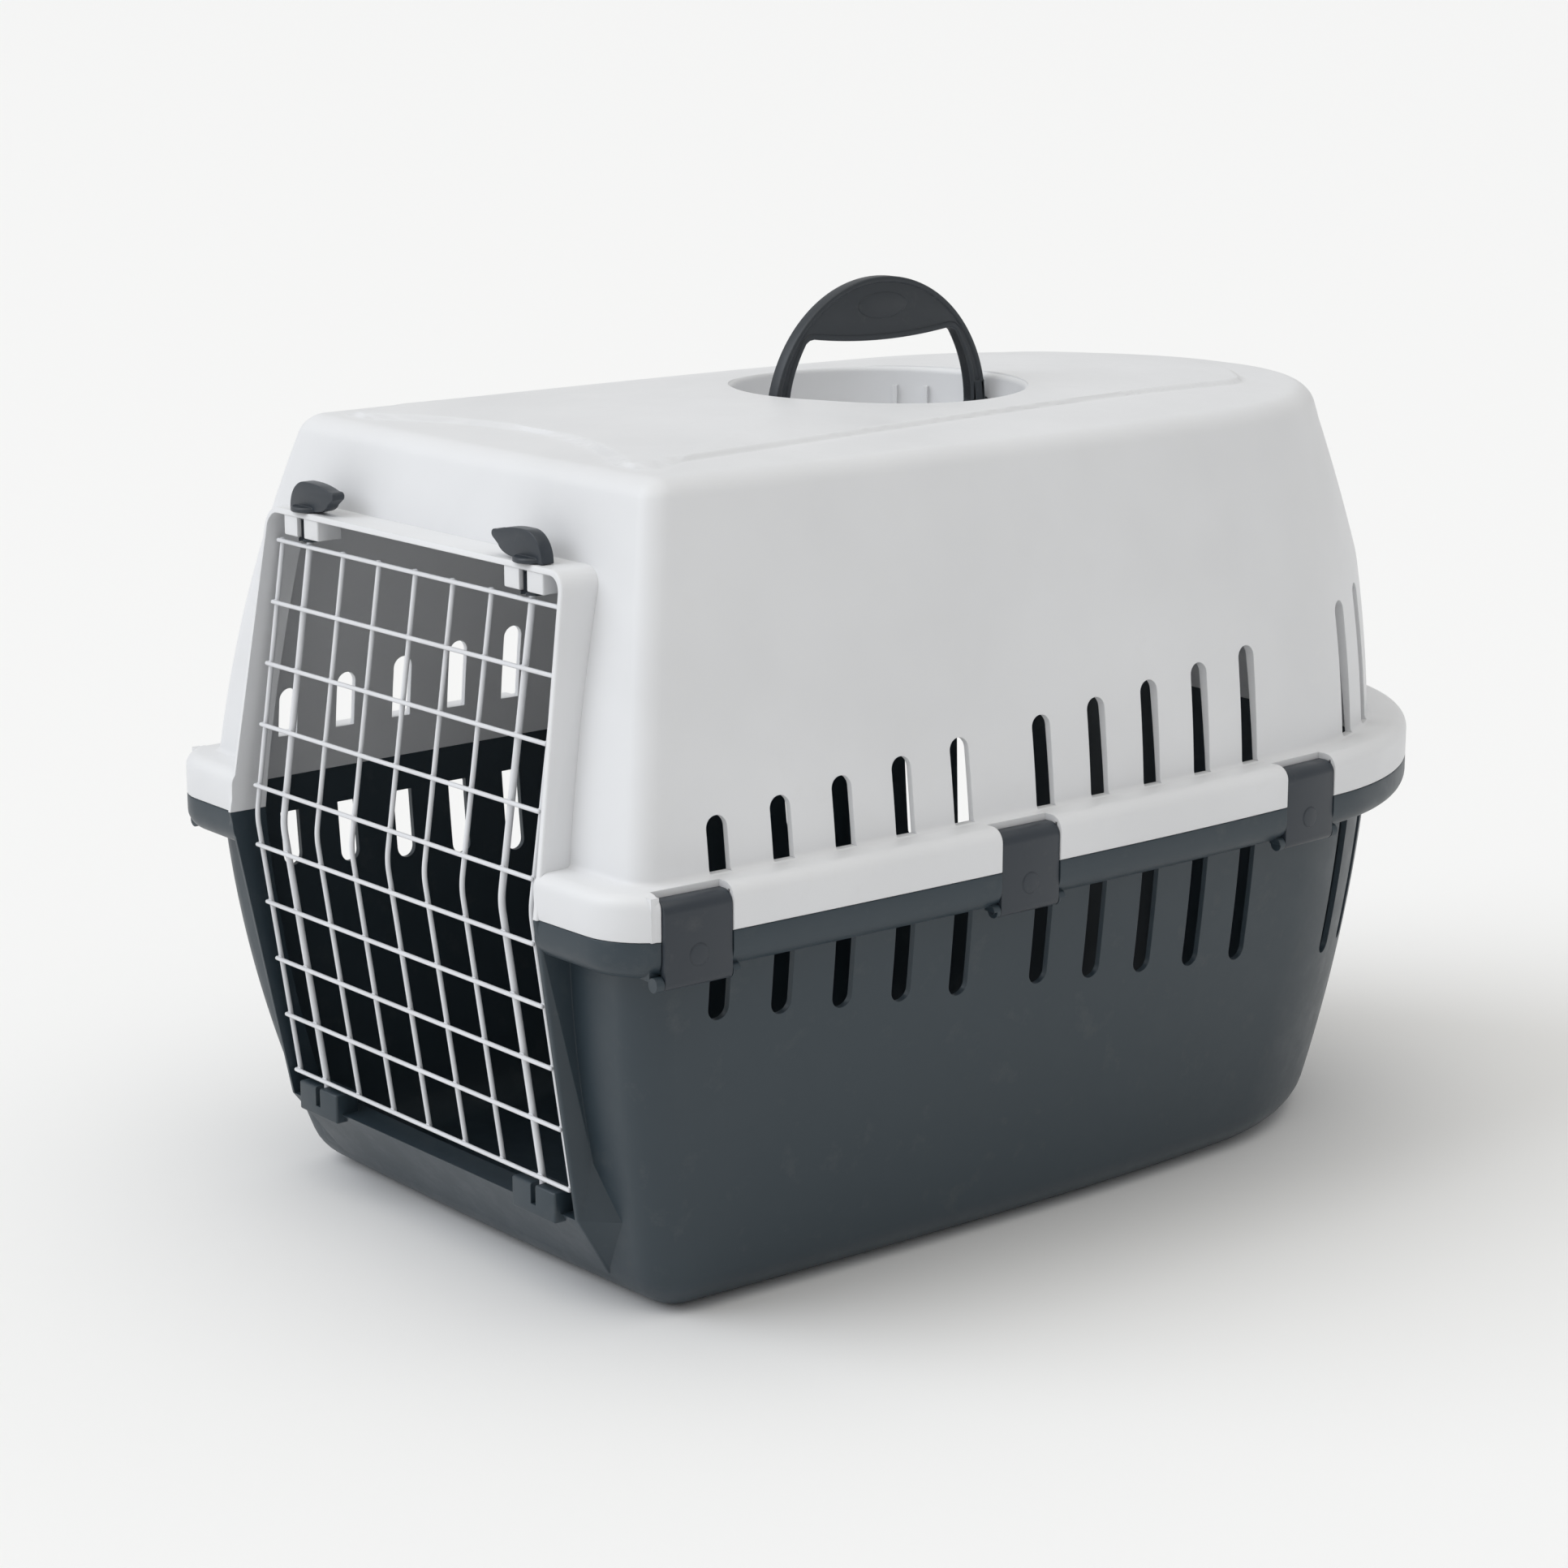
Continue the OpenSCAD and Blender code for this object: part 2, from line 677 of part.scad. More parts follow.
module base_shell() {
  color(slate)
    difference() {
      union() {
        difference() {
          union() {
            base_outer();
            collar_lower();
          }
          base_cavity();
          doorway_lower();
          chin_core();
        }
        for (s = [0, 1])
          mirror([s, 0, 0])
            lug();
        for (side = [-1, 1], y = clip_places)
          at_clip(side, y)
            clip_seat_down();
      }
      for (s = [0, 1])
        mirror([s, 0, 0])
          lug_cuts();
      for (side = [-1, 1], y = clip_places)
        at_clip(side, y)
          clip_cuts();
      for (k = [0:len(slot_places) - 1])
        translate([0, slot_places[k], 0])
          slot_cutter(down_low - cut, down_low - slot_down_h - k * slot_down_step);
      for (side = [-1, 1], a = corner_angles)
        at_corner(side, a)
          corner_cutter(down_low - cut, down_low - corner_down_h);
    }
}

base_shell();
top_shell();
carry_handle();
mirror([1, 0, 0]) latch();  // latch_left
latch();  // latch_right
clip(-1, 0);  // clip_left_front
clip(-1, 1);  // clip_left_middle
clip(-1, 2);  // clip_left_rear
clip(1, 0);  // clip_right_front
clip(1, 1);  // clip_right_middle
clip(1, 2);  // clip_right_rear
rod(-rod_x);  // door_hinge_rod
rod(rod_x);  // door_free_rod
upright(-edge_x);  // door_edge_wire_left
upright(edge_x);  // door_edge_wire_right
upright(-2 * wire_pitch);  // door_upright_1
upright(-wire_pitch);  // door_upright_2
upright(0);  // door_upright_3
upright(wire_pitch);  // door_upright_4
upright(2 * wire_pitch);  // door_upright_5
cross_wire(cross_count - 1);  // door_top_wire
cross_wire(0);  // door_bottom_wire
for (i = [1:cross_count - 2])  // door_cross_wires
    cross_wire(i);
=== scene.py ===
"""Pet transport carrier: two moulded shells, a bulged wire door, latches, clips and a folding handle.

Lengths inside this script are millimetres in the row frame, and every mesh is scaled to metres once,
when it is made. The door faces -Y and +Z is up.
"""

import bpy
import numpy as np
from mathutils import Matrix, Vector


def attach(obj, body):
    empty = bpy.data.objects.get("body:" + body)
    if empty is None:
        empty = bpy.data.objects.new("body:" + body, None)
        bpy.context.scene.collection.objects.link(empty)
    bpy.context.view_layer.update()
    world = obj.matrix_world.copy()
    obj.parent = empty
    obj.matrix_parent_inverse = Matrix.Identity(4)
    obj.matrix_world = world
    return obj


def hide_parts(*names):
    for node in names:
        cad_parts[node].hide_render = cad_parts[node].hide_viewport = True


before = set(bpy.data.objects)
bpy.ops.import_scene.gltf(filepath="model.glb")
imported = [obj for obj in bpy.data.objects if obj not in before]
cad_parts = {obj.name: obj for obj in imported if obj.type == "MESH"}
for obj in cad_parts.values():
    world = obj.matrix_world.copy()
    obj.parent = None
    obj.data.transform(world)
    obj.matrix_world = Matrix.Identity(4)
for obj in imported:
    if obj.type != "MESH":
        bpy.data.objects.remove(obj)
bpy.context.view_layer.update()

MM = 0.001
HALF_W, HALF_L = 202.5, 302.5
ROOF, PARTING, CROWN = 397.0, 197.3, 7.0
REACH, WALL = 16.0, 3.0
FLANGE_TOP, FLANGE_LOW = PARTING + 21.0, PARTING - 18.0
RIM_W, RIM_L = HALF_W - REACH, HALF_L - REACH
EDGE = ROOF - CROWN
ROOF_R, FLOOR_R = 9.0, 18.0
BOW_FRONT, BOW_REAR, BOW_END = 6.0, 22.0, 2.5
# How far the walls lean in over their height, and the squared share of each lean
LEAN_SIDE_UP, LEAN_SIDE_LOW, LEAN_FRONT, LEAN_REAR = 36, 31, 38, 18
CURVE_SIDE, CURVE_FRONT_UP, CURVE_FRONT_LOW = 0.63, 0.55, 0.79
# Corner radii in plan, of the body and of the flange
BODY_R_UP, BODY_R_LOW, BODY_R_REAR = 11, 19, 141
RIM_R_FRONT, RIM_R_REAR = 32, 150


# ---------------------------------------------------------------- meshes

def make(name, verts, faces):
    """A mesh object from points in millimetres and lists of corner indices."""
    mesh = bpy.data.meshes.new(name)
    mesh.from_pydata((np.asarray(verts, float) * MM).tolist(), [], [list(map(int, f)) for f in faces])
    mesh.validate()
    obj = bpy.data.objects.new(name, mesh)
    bpy.context.scene.collection.objects.link(obj)
    return obj


def grid(m, n, start=0):
    """Quads of m rings of n points: corner i joins i + 1 on its ring and the same two on the next."""
    i = np.arange(n)
    k = start + np.arange(m - 1)[:, None] * n
    j = (i + 1) % n
    return np.stack([k + i, k + j, k + n + j, k + n + i], -1).reshape(-1, 4).tolist()


def stack(name, rings):
    """A closed skin through rings of equal count, lowest first, closed by a flat face at each end."""
    rings = [np.asarray(r, float) for r in rings]
    m, n = len(rings), len(rings[0])
    faces = grid(m, n) + [list(range(n))[::-1], [(m - 1) * n + i for i in range(n)]]
    return make(name, np.concatenate(rings), faces)


def prism(name, outline, low, high, place):
    """A prism: the outline's points (a, b) at depths low and high, each put in space by place(a, b, c)."""
    a, b = np.asarray(outline, float).T
    rings = [np.stack(place(a, b, np.full(len(a), c)), -1) for c in (low, high)]
    return outward(stack(name, rings))


def outward(obj):
    """Turns every face outward by the sign of the enclosed volume."""
    mesh = obj.data
    mesh.calc_loop_triangles()
    tris = np.empty(len(mesh.loop_triangles) * 3, np.int32)
    mesh.loop_triangles.foreach_get("vertices", tris)
    co = np.empty(len(mesh.vertices) * 3)
    mesh.vertices.foreach_get("co", co)
    p = co.reshape(-1, 3)[tris.reshape(-1, 3)]
    if np.einsum("ij,ij->i", p[:, 0], np.cross(p[:, 1], p[:, 2])).sum() < 0:
        mesh.flip_normals()
    return obj


def along_x(a, b, c):
    """Outline (y, z) with depth along X."""
    return c, a, b


def along_y(a, b, c):
    """Outline (x, z) with depth along Y."""
    return a, c, b


def along_z(a, b, c):
    """Outline (x, y) with depth along Z."""
    return a, b, c


def arc(cx, cy, r, a0, a1, n):
    """Points on a circle of radius r about (cx, cy) from angle a0 to a1 in degrees."""
    a = np.radians(np.linspace(a0, a1, n))
    return np.column_stack([cx + r * np.cos(a), cy + r * np.sin(a)])


def lathe(name, profile, turns=48, place=along_z):
    """A turned solid: the profile (radius, height) goes round an axis, and its two ends are capped."""
    p = np.asarray(profile, float)
    a = np.linspace(0, 2 * np.pi, turns, endpoint=False)
    rings = [np.stack(place(r * np.cos(a), r * np.sin(a), np.full(turns, h)), -1) for r, h in p]
    return outward(stack(name, rings))


def tube(path, radius, segs=14):
    """Points and faces of a round wire along a path in millimetres, with rounded ends.

    At each point the section lies square to the path, and near the ends its radius follows a quarter circle.
    """
    p = np.asarray(path, float)
    d0, d1 = p[1] - p[0], p[-1] - p[-2]
    d0, d1 = d0 / np.linalg.norm(d0), d1 / np.linalg.norm(d1)
    s = np.array([0.0, 0.12, 0.4, 0.72])
    lead = np.column_stack([p[0] + d0 * radius * k for k in s]).T
    tail = np.column_stack([p[-1] - d1 * radius * k for k in s[::-1]]).T
    q = np.vstack([lead, p[0] + d0 * radius, p[1:-1], p[-1] - d1 * radius, tail])
    r = np.full(len(q), radius)
    near = radius * np.sqrt(1 - (1 - s) ** 2)
    near[0] = radius * 0.25
    r[:4], r[-4:] = near, near[::-1]
    t = np.gradient(q, axis=0)
    t /= np.linalg.norm(t, axis=1)[:, None]
    ref = np.array([1.0, 0, 0]) if abs(t[0][0]) < 0.9 else np.array([0, 0, 1.0])
    u = np.cross(t, ref)
    u /= np.linalg.norm(u, axis=1)[:, None]
    v = np.cross(t, u)
    a = np.linspace(0, 2 * np.pi, segs, endpoint=False)
    circles = np.cos(a)[None, :, None] * u[:, None] + np.sin(a)[None, :, None] * v[:, None]
    rings = q[:, None] + r[:, None, None] * circles
    m = len(q)
    faces = grid(m, segs) + [list(range(segs))[::-1], [(m - 1) * segs + i for i in range(segs)]]
    return rings.reshape(-1, 3), faces


def blob(centre, radii, segs=10, rows=6):
    """Points and faces of an ellipsoid: the unit sphere scaled by three radii."""
    b = np.radians(np.linspace(-80, 80, rows))
    a = np.linspace(0, 2 * np.pi, segs, endpoint=False)
    ball = np.stack([np.cos(b)[:, None] * np.cos(a), np.cos(b)[:, None] * np.sin(a),
                     np.sin(b)[:, None] + 0 * a], -1).reshape(-1, 3)
    faces = grid(rows, segs) + [list(range(segs))[::-1], [(rows - 1) * segs + i for i in range(segs)]]
    return ball * np.asarray(radii) + np.asarray(centre), faces


def merged(name, parts):
    """One object from several (points, faces) pairs, each piece kept closed."""
    verts, faces, n = [], [], 0
    for v, f in parts:
        verts.append(v)
        faces += [[i + n for i in face] for face in f]
        n += len(v)
    return make(name, np.vstack(verts), faces)


def data_of(obj):
    """Points in millimetres and faces of an object that is then removed."""
    mesh = obj.data
    co = np.empty(len(mesh.vertices) * 3)
    mesh.vertices.foreach_get("co", co)
    faces = [list(p.vertices) for p in mesh.polygons]
    bpy.data.objects.remove(obj)
    return co.reshape(-1, 3) / MM, faces


def move(obj, matrix):
    """Moves an object's points by a 4 by 4 matrix, in metres, and keeps the faces outward."""
    obj.data.transform(matrix)
    return outward(obj)


def joined(name, objs):
    """One object from several, each kept as its own closed piece."""
    return merged(name, [data_of(o) for o in objs])


def bake(obj):
    """Applies an object's modifiers to its mesh."""
    dg = bpy.context.evaluated_depsgraph_get()
    mesh = bpy.data.meshes.new_from_object(obj.evaluated_get(dg))
    obj.modifiers.clear()
    obj.data = mesh
    return obj


def carve(obj, other, how="DIFFERENCE"):
    """Adds another solid to obj, or takes it away, and removes the other."""
    mod = obj.modifiers.new(how, "BOOLEAN")
    mod.operation, mod.solver, mod.object = how, "MANIFOLD", other
    bake(obj)
    bpy.data.objects.remove(other)
    return obj


def rounded(obj, width, segments=3, angle=35):
    """Rounds the edges sharper than angle with a bevel of that width in millimetres."""
    mod = obj.modifiers.new("round", "BEVEL")
    mod.width, mod.segments, mod.limit_method = width * MM, segments, "ANGLE"
    mod.angle_limit = np.radians(angle)
    mod.use_clamp_overlap = True
    return bake(obj)


def smooth(obj, angle=32):
    """Smooth shading, with edges sharper than angle kept sharp."""
    mesh = obj.data
    mesh.polygons.foreach_set("use_smooth", np.ones(len(mesh.polygons), bool))
    mesh.set_sharp_from_angle(angle=np.radians(angle))
    return obj


# ---------------------------------------------------------------- materials

def linear(code):
    """A hex colour as linear red, green and blue."""
    c = np.array([int(code[i:i + 2], 16) for i in (1, 3, 5)]) / 255
    return (*np.where(c <= 0.04045, c / 12.92, ((c + 0.055) / 1.055) ** 2.4), 1.0)


class Nodes:
    """A material's node tree with one short way to add a node and link its inputs."""

    def __init__(self, name):
        self.material = bpy.data.materials.new(name)
        self.material.use_nodes = True
        self.tree = self.material.node_tree
        self.tree.nodes.clear()

    def add(self, kind, inputs=None, **settings):
        """Adds a node. An input is a value, or an output socket to link."""
        node = self.tree.nodes.new(kind)
        for key, value in settings.items():
            setattr(node, key, value)
        for key, value in (inputs or {}).items():
            if isinstance(value, bpy.types.NodeSocket):
                self.tree.links.new(value, node.inputs[key])
            else:
                node.inputs[key].default_value = value
        return node


def plastic(name, code, rough, dust, translucent=0.0, edge=0.0006):
    """Moulded polypropylene: an even colour with faint cloudiness from the melt, a fine spark-eroded
    grain from the mould, soft scuffs in the gloss, and edges that read as slightly rounded."""
    n = Nodes(name)
    where = n.add("ShaderNodeTexCoord").outputs["Object"]
    cloud = n.add("ShaderNodeTexNoise", {"Vector": where, "Scale": 9.0, "Detail": 3.0, "Roughness": 0.55})
    scuff = n.add("ShaderNodeTexNoise", {"Vector": where, "Scale": 55.0, "Detail": 6.0, "Roughness": 0.7})
    grain = n.add("ShaderNodeTexNoise", {"Vector": where, "Scale": 1500.0, "Detail": 2.0, "Roughness": 0.5})
    base = linear(code)
    dusty = tuple(b + (d - b) * dust for b, d in zip(base, linear("#B9B4A8")))
    shade = n.add("ShaderNodeValToRGB", {"Fac": cloud.outputs["Fac"]})
    ramp = shade.color_ramp
    ramp.elements[0].position, ramp.elements[1].position = 0.3, 0.75
    ramp.elements[0].color = tuple(c * 0.955 for c in base[:3]) + (1,)
    ramp.elements[1].color = tuple(min(1, c * 1.03) for c in base[:3]) + (1,)
    spots = n.add("ShaderNodeMapRange", {"Value": scuff.outputs["Fac"], "From Min": 0.56, "From Max": 0.78,
                                         "To Min": 0.0, "To Max": 1.0})
    colour = n.add("ShaderNodeMixRGB", {"Fac": spots.outputs["Result"], "Color1": shade.outputs["Color"],
                                        "Color2": dusty[:3] + (1,)})
    gloss = n.add("ShaderNodeMapRange", {"Value": scuff.outputs["Fac"], "From Min": 0.3, "From Max": 0.75,
                                         "To Min": rough - 0.04, "To Max": rough + 0.1})
    bevel = n.add("ShaderNodeBevel", {"Radius": edge}, samples=4)
    bump = n.add("ShaderNodeBump", {"Strength": 0.1, "Distance": 0.0001, "Height": grain.outputs["Fac"],
                                    "Normal": bevel.outputs["Normal"]})
    shader = n.add("ShaderNodeBsdfPrincipled", {
        "Base Color": colour.outputs["Color"], "Roughness": gloss.outputs["Result"], "IOR": 1.49,
        "Normal": bump.outputs["Normal"]})
    if translucent:
        shader.inputs["Subsurface Weight"].default_value = translucent
        shader.inputs["Subsurface Radius"].default_value = (1.0, 1.0, 0.95)
        shader.inputs["Subsurface Scale"].default_value = 0.0015
    n.add("ShaderNodeOutputMaterial", {"Surface": shader.outputs["BSDF"]})
    return n.material


def coated(name, code):
    """Powder-coated steel wire: a pale coat with slight orange peel and a faint yellowing in patches."""
    n = Nodes(name)
    where = n.add("ShaderNodeTexCoord").outputs["Object"]
    peel = n.add("ShaderNodeTexNoise", {"Vector": where, "Scale": 900.0, "Detail": 2.0})
    patch = n.add("ShaderNodeTexNoise", {"Vector": where, "Scale": 30.0, "Detail": 4.0})
    mix = n.add("ShaderNodeMixRGB", {"Fac": patch.outputs["Fac"], "Color1": linear(code),
                                     "Color2": linear("#D2D3D6")})
    bump = n.add("ShaderNodeBump", {"Strength": 0.25, "Distance": 0.00012, "Height": peel.outputs["Fac"]})
    shader = n.add("ShaderNodeBsdfPrincipled", {
        "Base Color": mix.outputs["Color"], "Roughness": 0.33, "Coat Weight": 0.25, "Coat Roughness": 0.2,
        "Normal": bump.outputs["Normal"]})
    n.add("ShaderNodeOutputMaterial", {"Surface": shader.outputs["BSDF"]})
    return n.material


LIGHT = plastic("moulded polypropylene, light grey", "#E0E1E3", 0.42, 0.05, 0.12)
SLATE = plastic("moulded polypropylene, slate", "#2C3840", 0.38, 0.05)
GRIP = plastic("moulded polypropylene, handle slate", "#262C32", 0.36, 0.05)
TRIM = plastic("moulded polypropylene, clip slate", "#2A3139", 0.34, 0.05)
WIRE = coated("coated wire, pale grey", "#E6E8EC")


def finished(obj, body, slot, material, *nodes):
    """Gives a piece its material and body, and hides the CAD nodes that it stands for; slot is not used."""
    obj.data.materials.clear()
    obj.data.materials.append(material)
    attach(obj, body)
    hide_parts(*nodes)
    return obj


# ---------------------------------------------------------------- shells

def lean(t, c):
    """Share of a wall's lean at share t of its height: a straight part 1 - c and a squared part c."""
    return (1 - c) * t + c * t * t


def outline(w, front, rear, rf, rr):
    """Plan outline, anticlockwise from the front middle: straight front, corner, side, wide rear corner.

    The sides then come in with the square of the distance along, and the ends are crowned with the square
    of the distance across.
    """
    half = np.vstack([
        np.column_stack([np.linspace(0, w - rf, 26)[:-1], np.full(25, -front)]),
        arc(w - rf, rf - front, rf, -90, 0, 12),
        np.column_stack([np.full(70, w), np.linspace(rf - front, rear - rr, 72)[1:-1]]),
        arc(w - rr, rear - rr, rr, 0, 90, 64),
        np.column_stack([np.linspace(w - rr, 0, 12)[1:], np.full(11, rear)])])
    x, y = half.T
    t = np.where(y < 0, y / front, y / rear)
    bow = np.where(y < 0, BOW_FRONT, BOW_REAR)
    inward = np.where(y < 0, 1, -1) * BOW_END
    half = np.column_stack([x - bow * t * t * x / w, y + inward * (x / w) ** 2 * abs(t)])
    return np.vstack([half, half[-2:0:-1] * [-1, 1]])


def ring(plan, z):
    """A plan outline lifted to height z."""
    return np.column_stack([plan, np.full(len(plan), z)])


def body_plan(z, d):
    """Plan of the body's outside at height z, set in by d."""
    up = z > PARTING
    t = (z - PARTING) / (EDGE - PARTING) if up else (PARTING - z) / PARTING
    side, front = lean(t, CURVE_SIDE), lean(t, CURVE_FRONT_UP if up else CURVE_FRONT_LOW)
    return outline(RIM_W - (LEAN_SIDE_UP if up else LEAN_SIDE_LOW) * side - d, RIM_L - LEAN_FRONT * front - d,
                   RIM_L - LEAN_REAR * side - d, (BODY_R_UP if up else BODY_R_LOW) - d, BODY_R_REAR - d)


def flange_plan(d):
    """Plan of the flange's edge, set in by d."""
    return outline(HALF_W - d, HALF_L - d, HALF_L - d, RIM_R_FRONT - d, RIM_R_REAR - d)


def flange_x(y):
    """Half width of the flange at y."""
    return HALF_W - np.where(np.asarray(y) < 0, BOW_FRONT, BOW_REAR) * (np.asarray(y) / HALF_L) ** 2


def crease(r):
    """Upper side walls swell by up to 2.8 mm at a line that climbs to the rear.

    The line is z = 279 + 0.098 y. The swell falls off evenly to nothing at the flange and 70 mm above the
    line, and it fades in between y = -90 and y = 60.
    """
    x, y, z = r.T
    line = 279 + 0.098 * y
    below = np.clip((z - FLANGE_TOP - 3) / (line - FLANGE_TOP - 3), 0, 1)
    above = np.clip(1 - (z - line) / 70, 0, 1)
    fade = np.clip((y + 90) / 150, 0, 1)
    k = 1 + 2.8 * np.minimum(below, above) * fade * fade * (3 - 2 * fade) / 170
    return np.column_stack([x * k, y * np.where(y > 0, k, 1), z])


def smoothstep(t):
    """3 t^2 - 2 t^3 with t held between 0 and 1."""
    t = np.clip(t, 0, 1)
    return t * t * (3 - 2 * t)


def panel(r):
    """The roof's raised panel, 2 mm high over a 2.4 mm slope.

    Its front edge bows back, y = -205 - 34 (x / 116)^2. Its sides draw in from 113 mm at the front to 88 mm
    at the rear, its rear end is round, and its corners are rounded by a smooth minimum of the distances.
    """
    x, y, z = r.T
    side = 108 - 0.085 * (y + 100) - abs(x)
    front = y + 205 + 34 * (x / 116) ** 2
    rear = 232 - 0.006 * x * x - y
    k = 5.0
    near = -k * np.log(np.exp(-np.clip(side, -60, 60) / k) + np.exp(-np.clip(front, -60, 60) / k)
                       + np.exp(-np.clip(rear, -60, 60) / k))
    return np.column_stack([x, y, z + 2.0 * smoothstep(near / 2.4 + 0.5)])


def roof(d, arcs=9):
    """Rings over the roof's rounded edge and crown, set in by d. The crown rises by 1 - k^2 at share k."""
    b = ROOF_R - d
    rings = []
    for a in np.radians(np.linspace(0, 90, arcs)):
        z = EDGE - ROOF_R + b * np.sin(a)
        rings.append(ring(body_plan(z, d + b * (1 - np.cos(a))), z))
    rim = body_plan(EDGE, ROOF_R)
    ks = np.linspace(0.96, 0.06, 14)
    if d == 0:
        ks = np.concatenate([np.linspace(0.99, 0.62, 44), np.linspace(0.6, 0.06, 14)])
    rings += [ring(rim * k, EDGE + CROWN * (1 - k * k) - d) for k in ks]
    return rings


def floor(d, arcs=9):
    """Rings from the wall round the floor's edge, set in by d."""
    b = FLOOR_R - d
    return [ring(body_plan(FLOOR_R - b * np.sin(a), d + b * (1 - np.cos(a))), FLOOR_R - b * np.sin(a))
            for a in np.radians(np.linspace(0, 90, arcs))]


def flange_rings(face, back, root, r):
    """Rings of a flange from its hollow channel, round its edge of radius r, to a small fillet at the wall.

    face is the joining line, back the flange's far face, and root the direction from face to back.
    """
    wall = body_plan(back, 0)
    out = [ring(body_plan(PARTING, 0), face), ring(body_plan(PARTING, 0), back - root * WALL),
           ring(flange_plan(WALL), back - root * WALL), ring(flange_plan(WALL), face),
           ring(flange_plan(0.7), face), ring(flange_plan(0.2), face + root * 0.25),
           ring(flange_plan(0), face + root * 0.8)]
    out += [ring(flange_plan(r * (1 - np.cos(a))), back - root * r * (1 - np.sin(a)))
            for a in np.radians(np.linspace(0, 90, 9))]
    for a in np.radians(np.linspace(0, 90, 6)):
        grow = 3 * (1 - np.sin(a))
        z = back + root * 3 * (1 - np.cos(a))
        out.append(ring(body_plan(back + root * 3, 0) + unit(wall) * grow, z))
    return out


def unit(plan):
    """Outward unit vectors of a plan outline: each point's tangent turned by a right angle."""
    t = np.roll(plan, -1, 0) - np.roll(plan, 1, 0)
    n = np.column_stack([t[:, 1], -t[:, 0]])
    return n / np.linalg.norm(n, axis=1)[:, None]


def top_skin():
    """The upper shell's outside."""
    walls = np.linspace(FLANGE_TOP + 3, EDGE - ROOF_R, 34)[1:-1]
    rings = flange_rings(PARTING, FLANGE_TOP, 1, 7)
    rings += [crease(ring(body_plan(z, 0), z)) for z in walls]
    rings += [panel(r) if k > 10 else r for k, r in enumerate(roof(0))]
    return stack("upper_shell", rings)


def top_hollow():
    """The upper shell's inside."""
    walls = np.linspace(FLANGE_TOP, EDGE - ROOF_R, 18)[:-1]
    return stack("upper hollow", [ring(body_plan(PARTING, WALL), PARTING - 1)]
                 + [ring(body_plan(z, WALL), z) for z in walls] + roof(WALL, 6))


def base_skin():
    """The base's outside."""
    walls = np.linspace(FLANGE_LOW - 3, FLOOR_R, 34)[1:-1]
    rings = flange_rings(PARTING, FLANGE_LOW, -1, 10)
    rings += [ring(body_plan(z, 0), z) for z in walls] + floor(0)
    return stack("lower_shell", rings[::-1])


def base_hollow():
    """The base's inside."""
    walls = np.linspace(FLANGE_LOW, FLOOR_R, 18)[:-1]
    rings = [ring(body_plan(PARTING, WALL), PARTING + 1)] + [ring(body_plan(z, WALL), z) for z in walls]
    return stack("base hollow", (rings + floor(WALL, 6))[::-1])


# ---------------------------------------------------------------- doorway

# The collar's height above and below the joining line, how far it leans back over each, and its head's radius
COLLAR_UP, COLLAR_LOW, BACK_UP, BACK_LOW, HEAD_R = 152.7, 149.3, 23.5, 26.5, 10
COLLAR_TOP, SILL = PARTING + COLLAR_UP, PARTING - COLLAR_LOW
# Half widths of the collar at the joining line and at its ends, and its wall
COLLAR_MID, COLLAR_END, COLLAR_T = 131.2, 123.0, 2.8
# The apron's foot, the slope of its sides, and the height above the sill at which they meet the collar
APRON_Z, APRON_SIDE, APRON_RISE = 14, 15, 30
BACK = 62 - HALF_L


def collar_w(z):
    """Half width of the collar at height z: widest at the joining line."""
    t = (z - PARTING) / COLLAR_UP if z > PARTING else (PARTING - z) / COLLAR_LOW
    return COLLAR_MID - (COLLAR_MID - COLLAR_END) * t


def collar_y(z):
    """Place of the collar's front edge at height z: a shallow V, furthest forward at the joining line."""
    if z > PARTING:
        return -HALF_L + (z - PARTING) / COLLAR_UP * BACK_UP
    return -HALF_L + (PARTING - z) / COLLAR_LOW * BACK_LOW


def box_ring(w, y0, y1, z, r=0.0):
    """A rectangle of half width w from y0 to y1 at height z, its front corners rounded by r."""
    if r:
        left, right = arc(r - w, y0 + r, r, 180, 270, 5), arc(w - r, y0 + r, r, 270, 360, 5)
    else:
        left, right = np.array([[-w, y0]]), np.array([[w, y0]])
    return ring(np.vstack([left, right, [[w, y1], [-w, y1]]]), z)


def apron_ring(w, y0, side, z):
    """A box ring whose front corners are rounded and whose sides slope out to just inside the front wall."""
    inner = 2.7 - (RIM_L - LEAN_FRONT * lean((PARTING - z) / PARTING, CURVE_FRONT_LOW))
    front = [arc(1.5 - w, y0 + 1.5, 1.5, 200, 270, 5), arc(w - 1.5, y0 + 1.5, 1.5, 270, 340, 5)]
    rear = [[w + side, inner], [w + side, BACK], [-w - side, BACK], [-w - side, inner]]
    return ring(np.vstack(front + [rear]), z)


def collar_rings(d, y0=None, r=0.0):
    """Rings of the collar's block, or of the doorway cut through it, from the joining line up."""
    heads = []
    b = HEAD_R - d
    for a in np.radians(np.linspace(0, 90, 9)):
        z = COLLAR_TOP - HEAD_R + b * np.sin(a)
        y = collar_y(z) if y0 is None else y0
        heads.append(box_ring(collar_w(z) - d - b * (1 - np.cos(a)), y, BACK, z, r))
    z = PARTING if y0 is None else PARTING - 1
    first = box_ring(collar_w(PARTING) - d, collar_y(PARTING) if y0 is None else y0, BACK, z, r)
    return [first] + heads


def cylinder(name, r, low, high, centre, place=along_z, turns=64):
    """A plain round bar between two depths about a centre (a, b) of its plane."""
    return prism(name, arc(centre[0], centre[1], r, 0, 360 - 360 / turns, turns), low, high, place)


def bar(name, x, y, z):
    """A box between pairs of x, y and z."""
    return prism(name, [(x[0], y[0]), (x[1], y[0]), (x[1], y[1]), (x[0], y[1])], z[0], z[1], along_z)


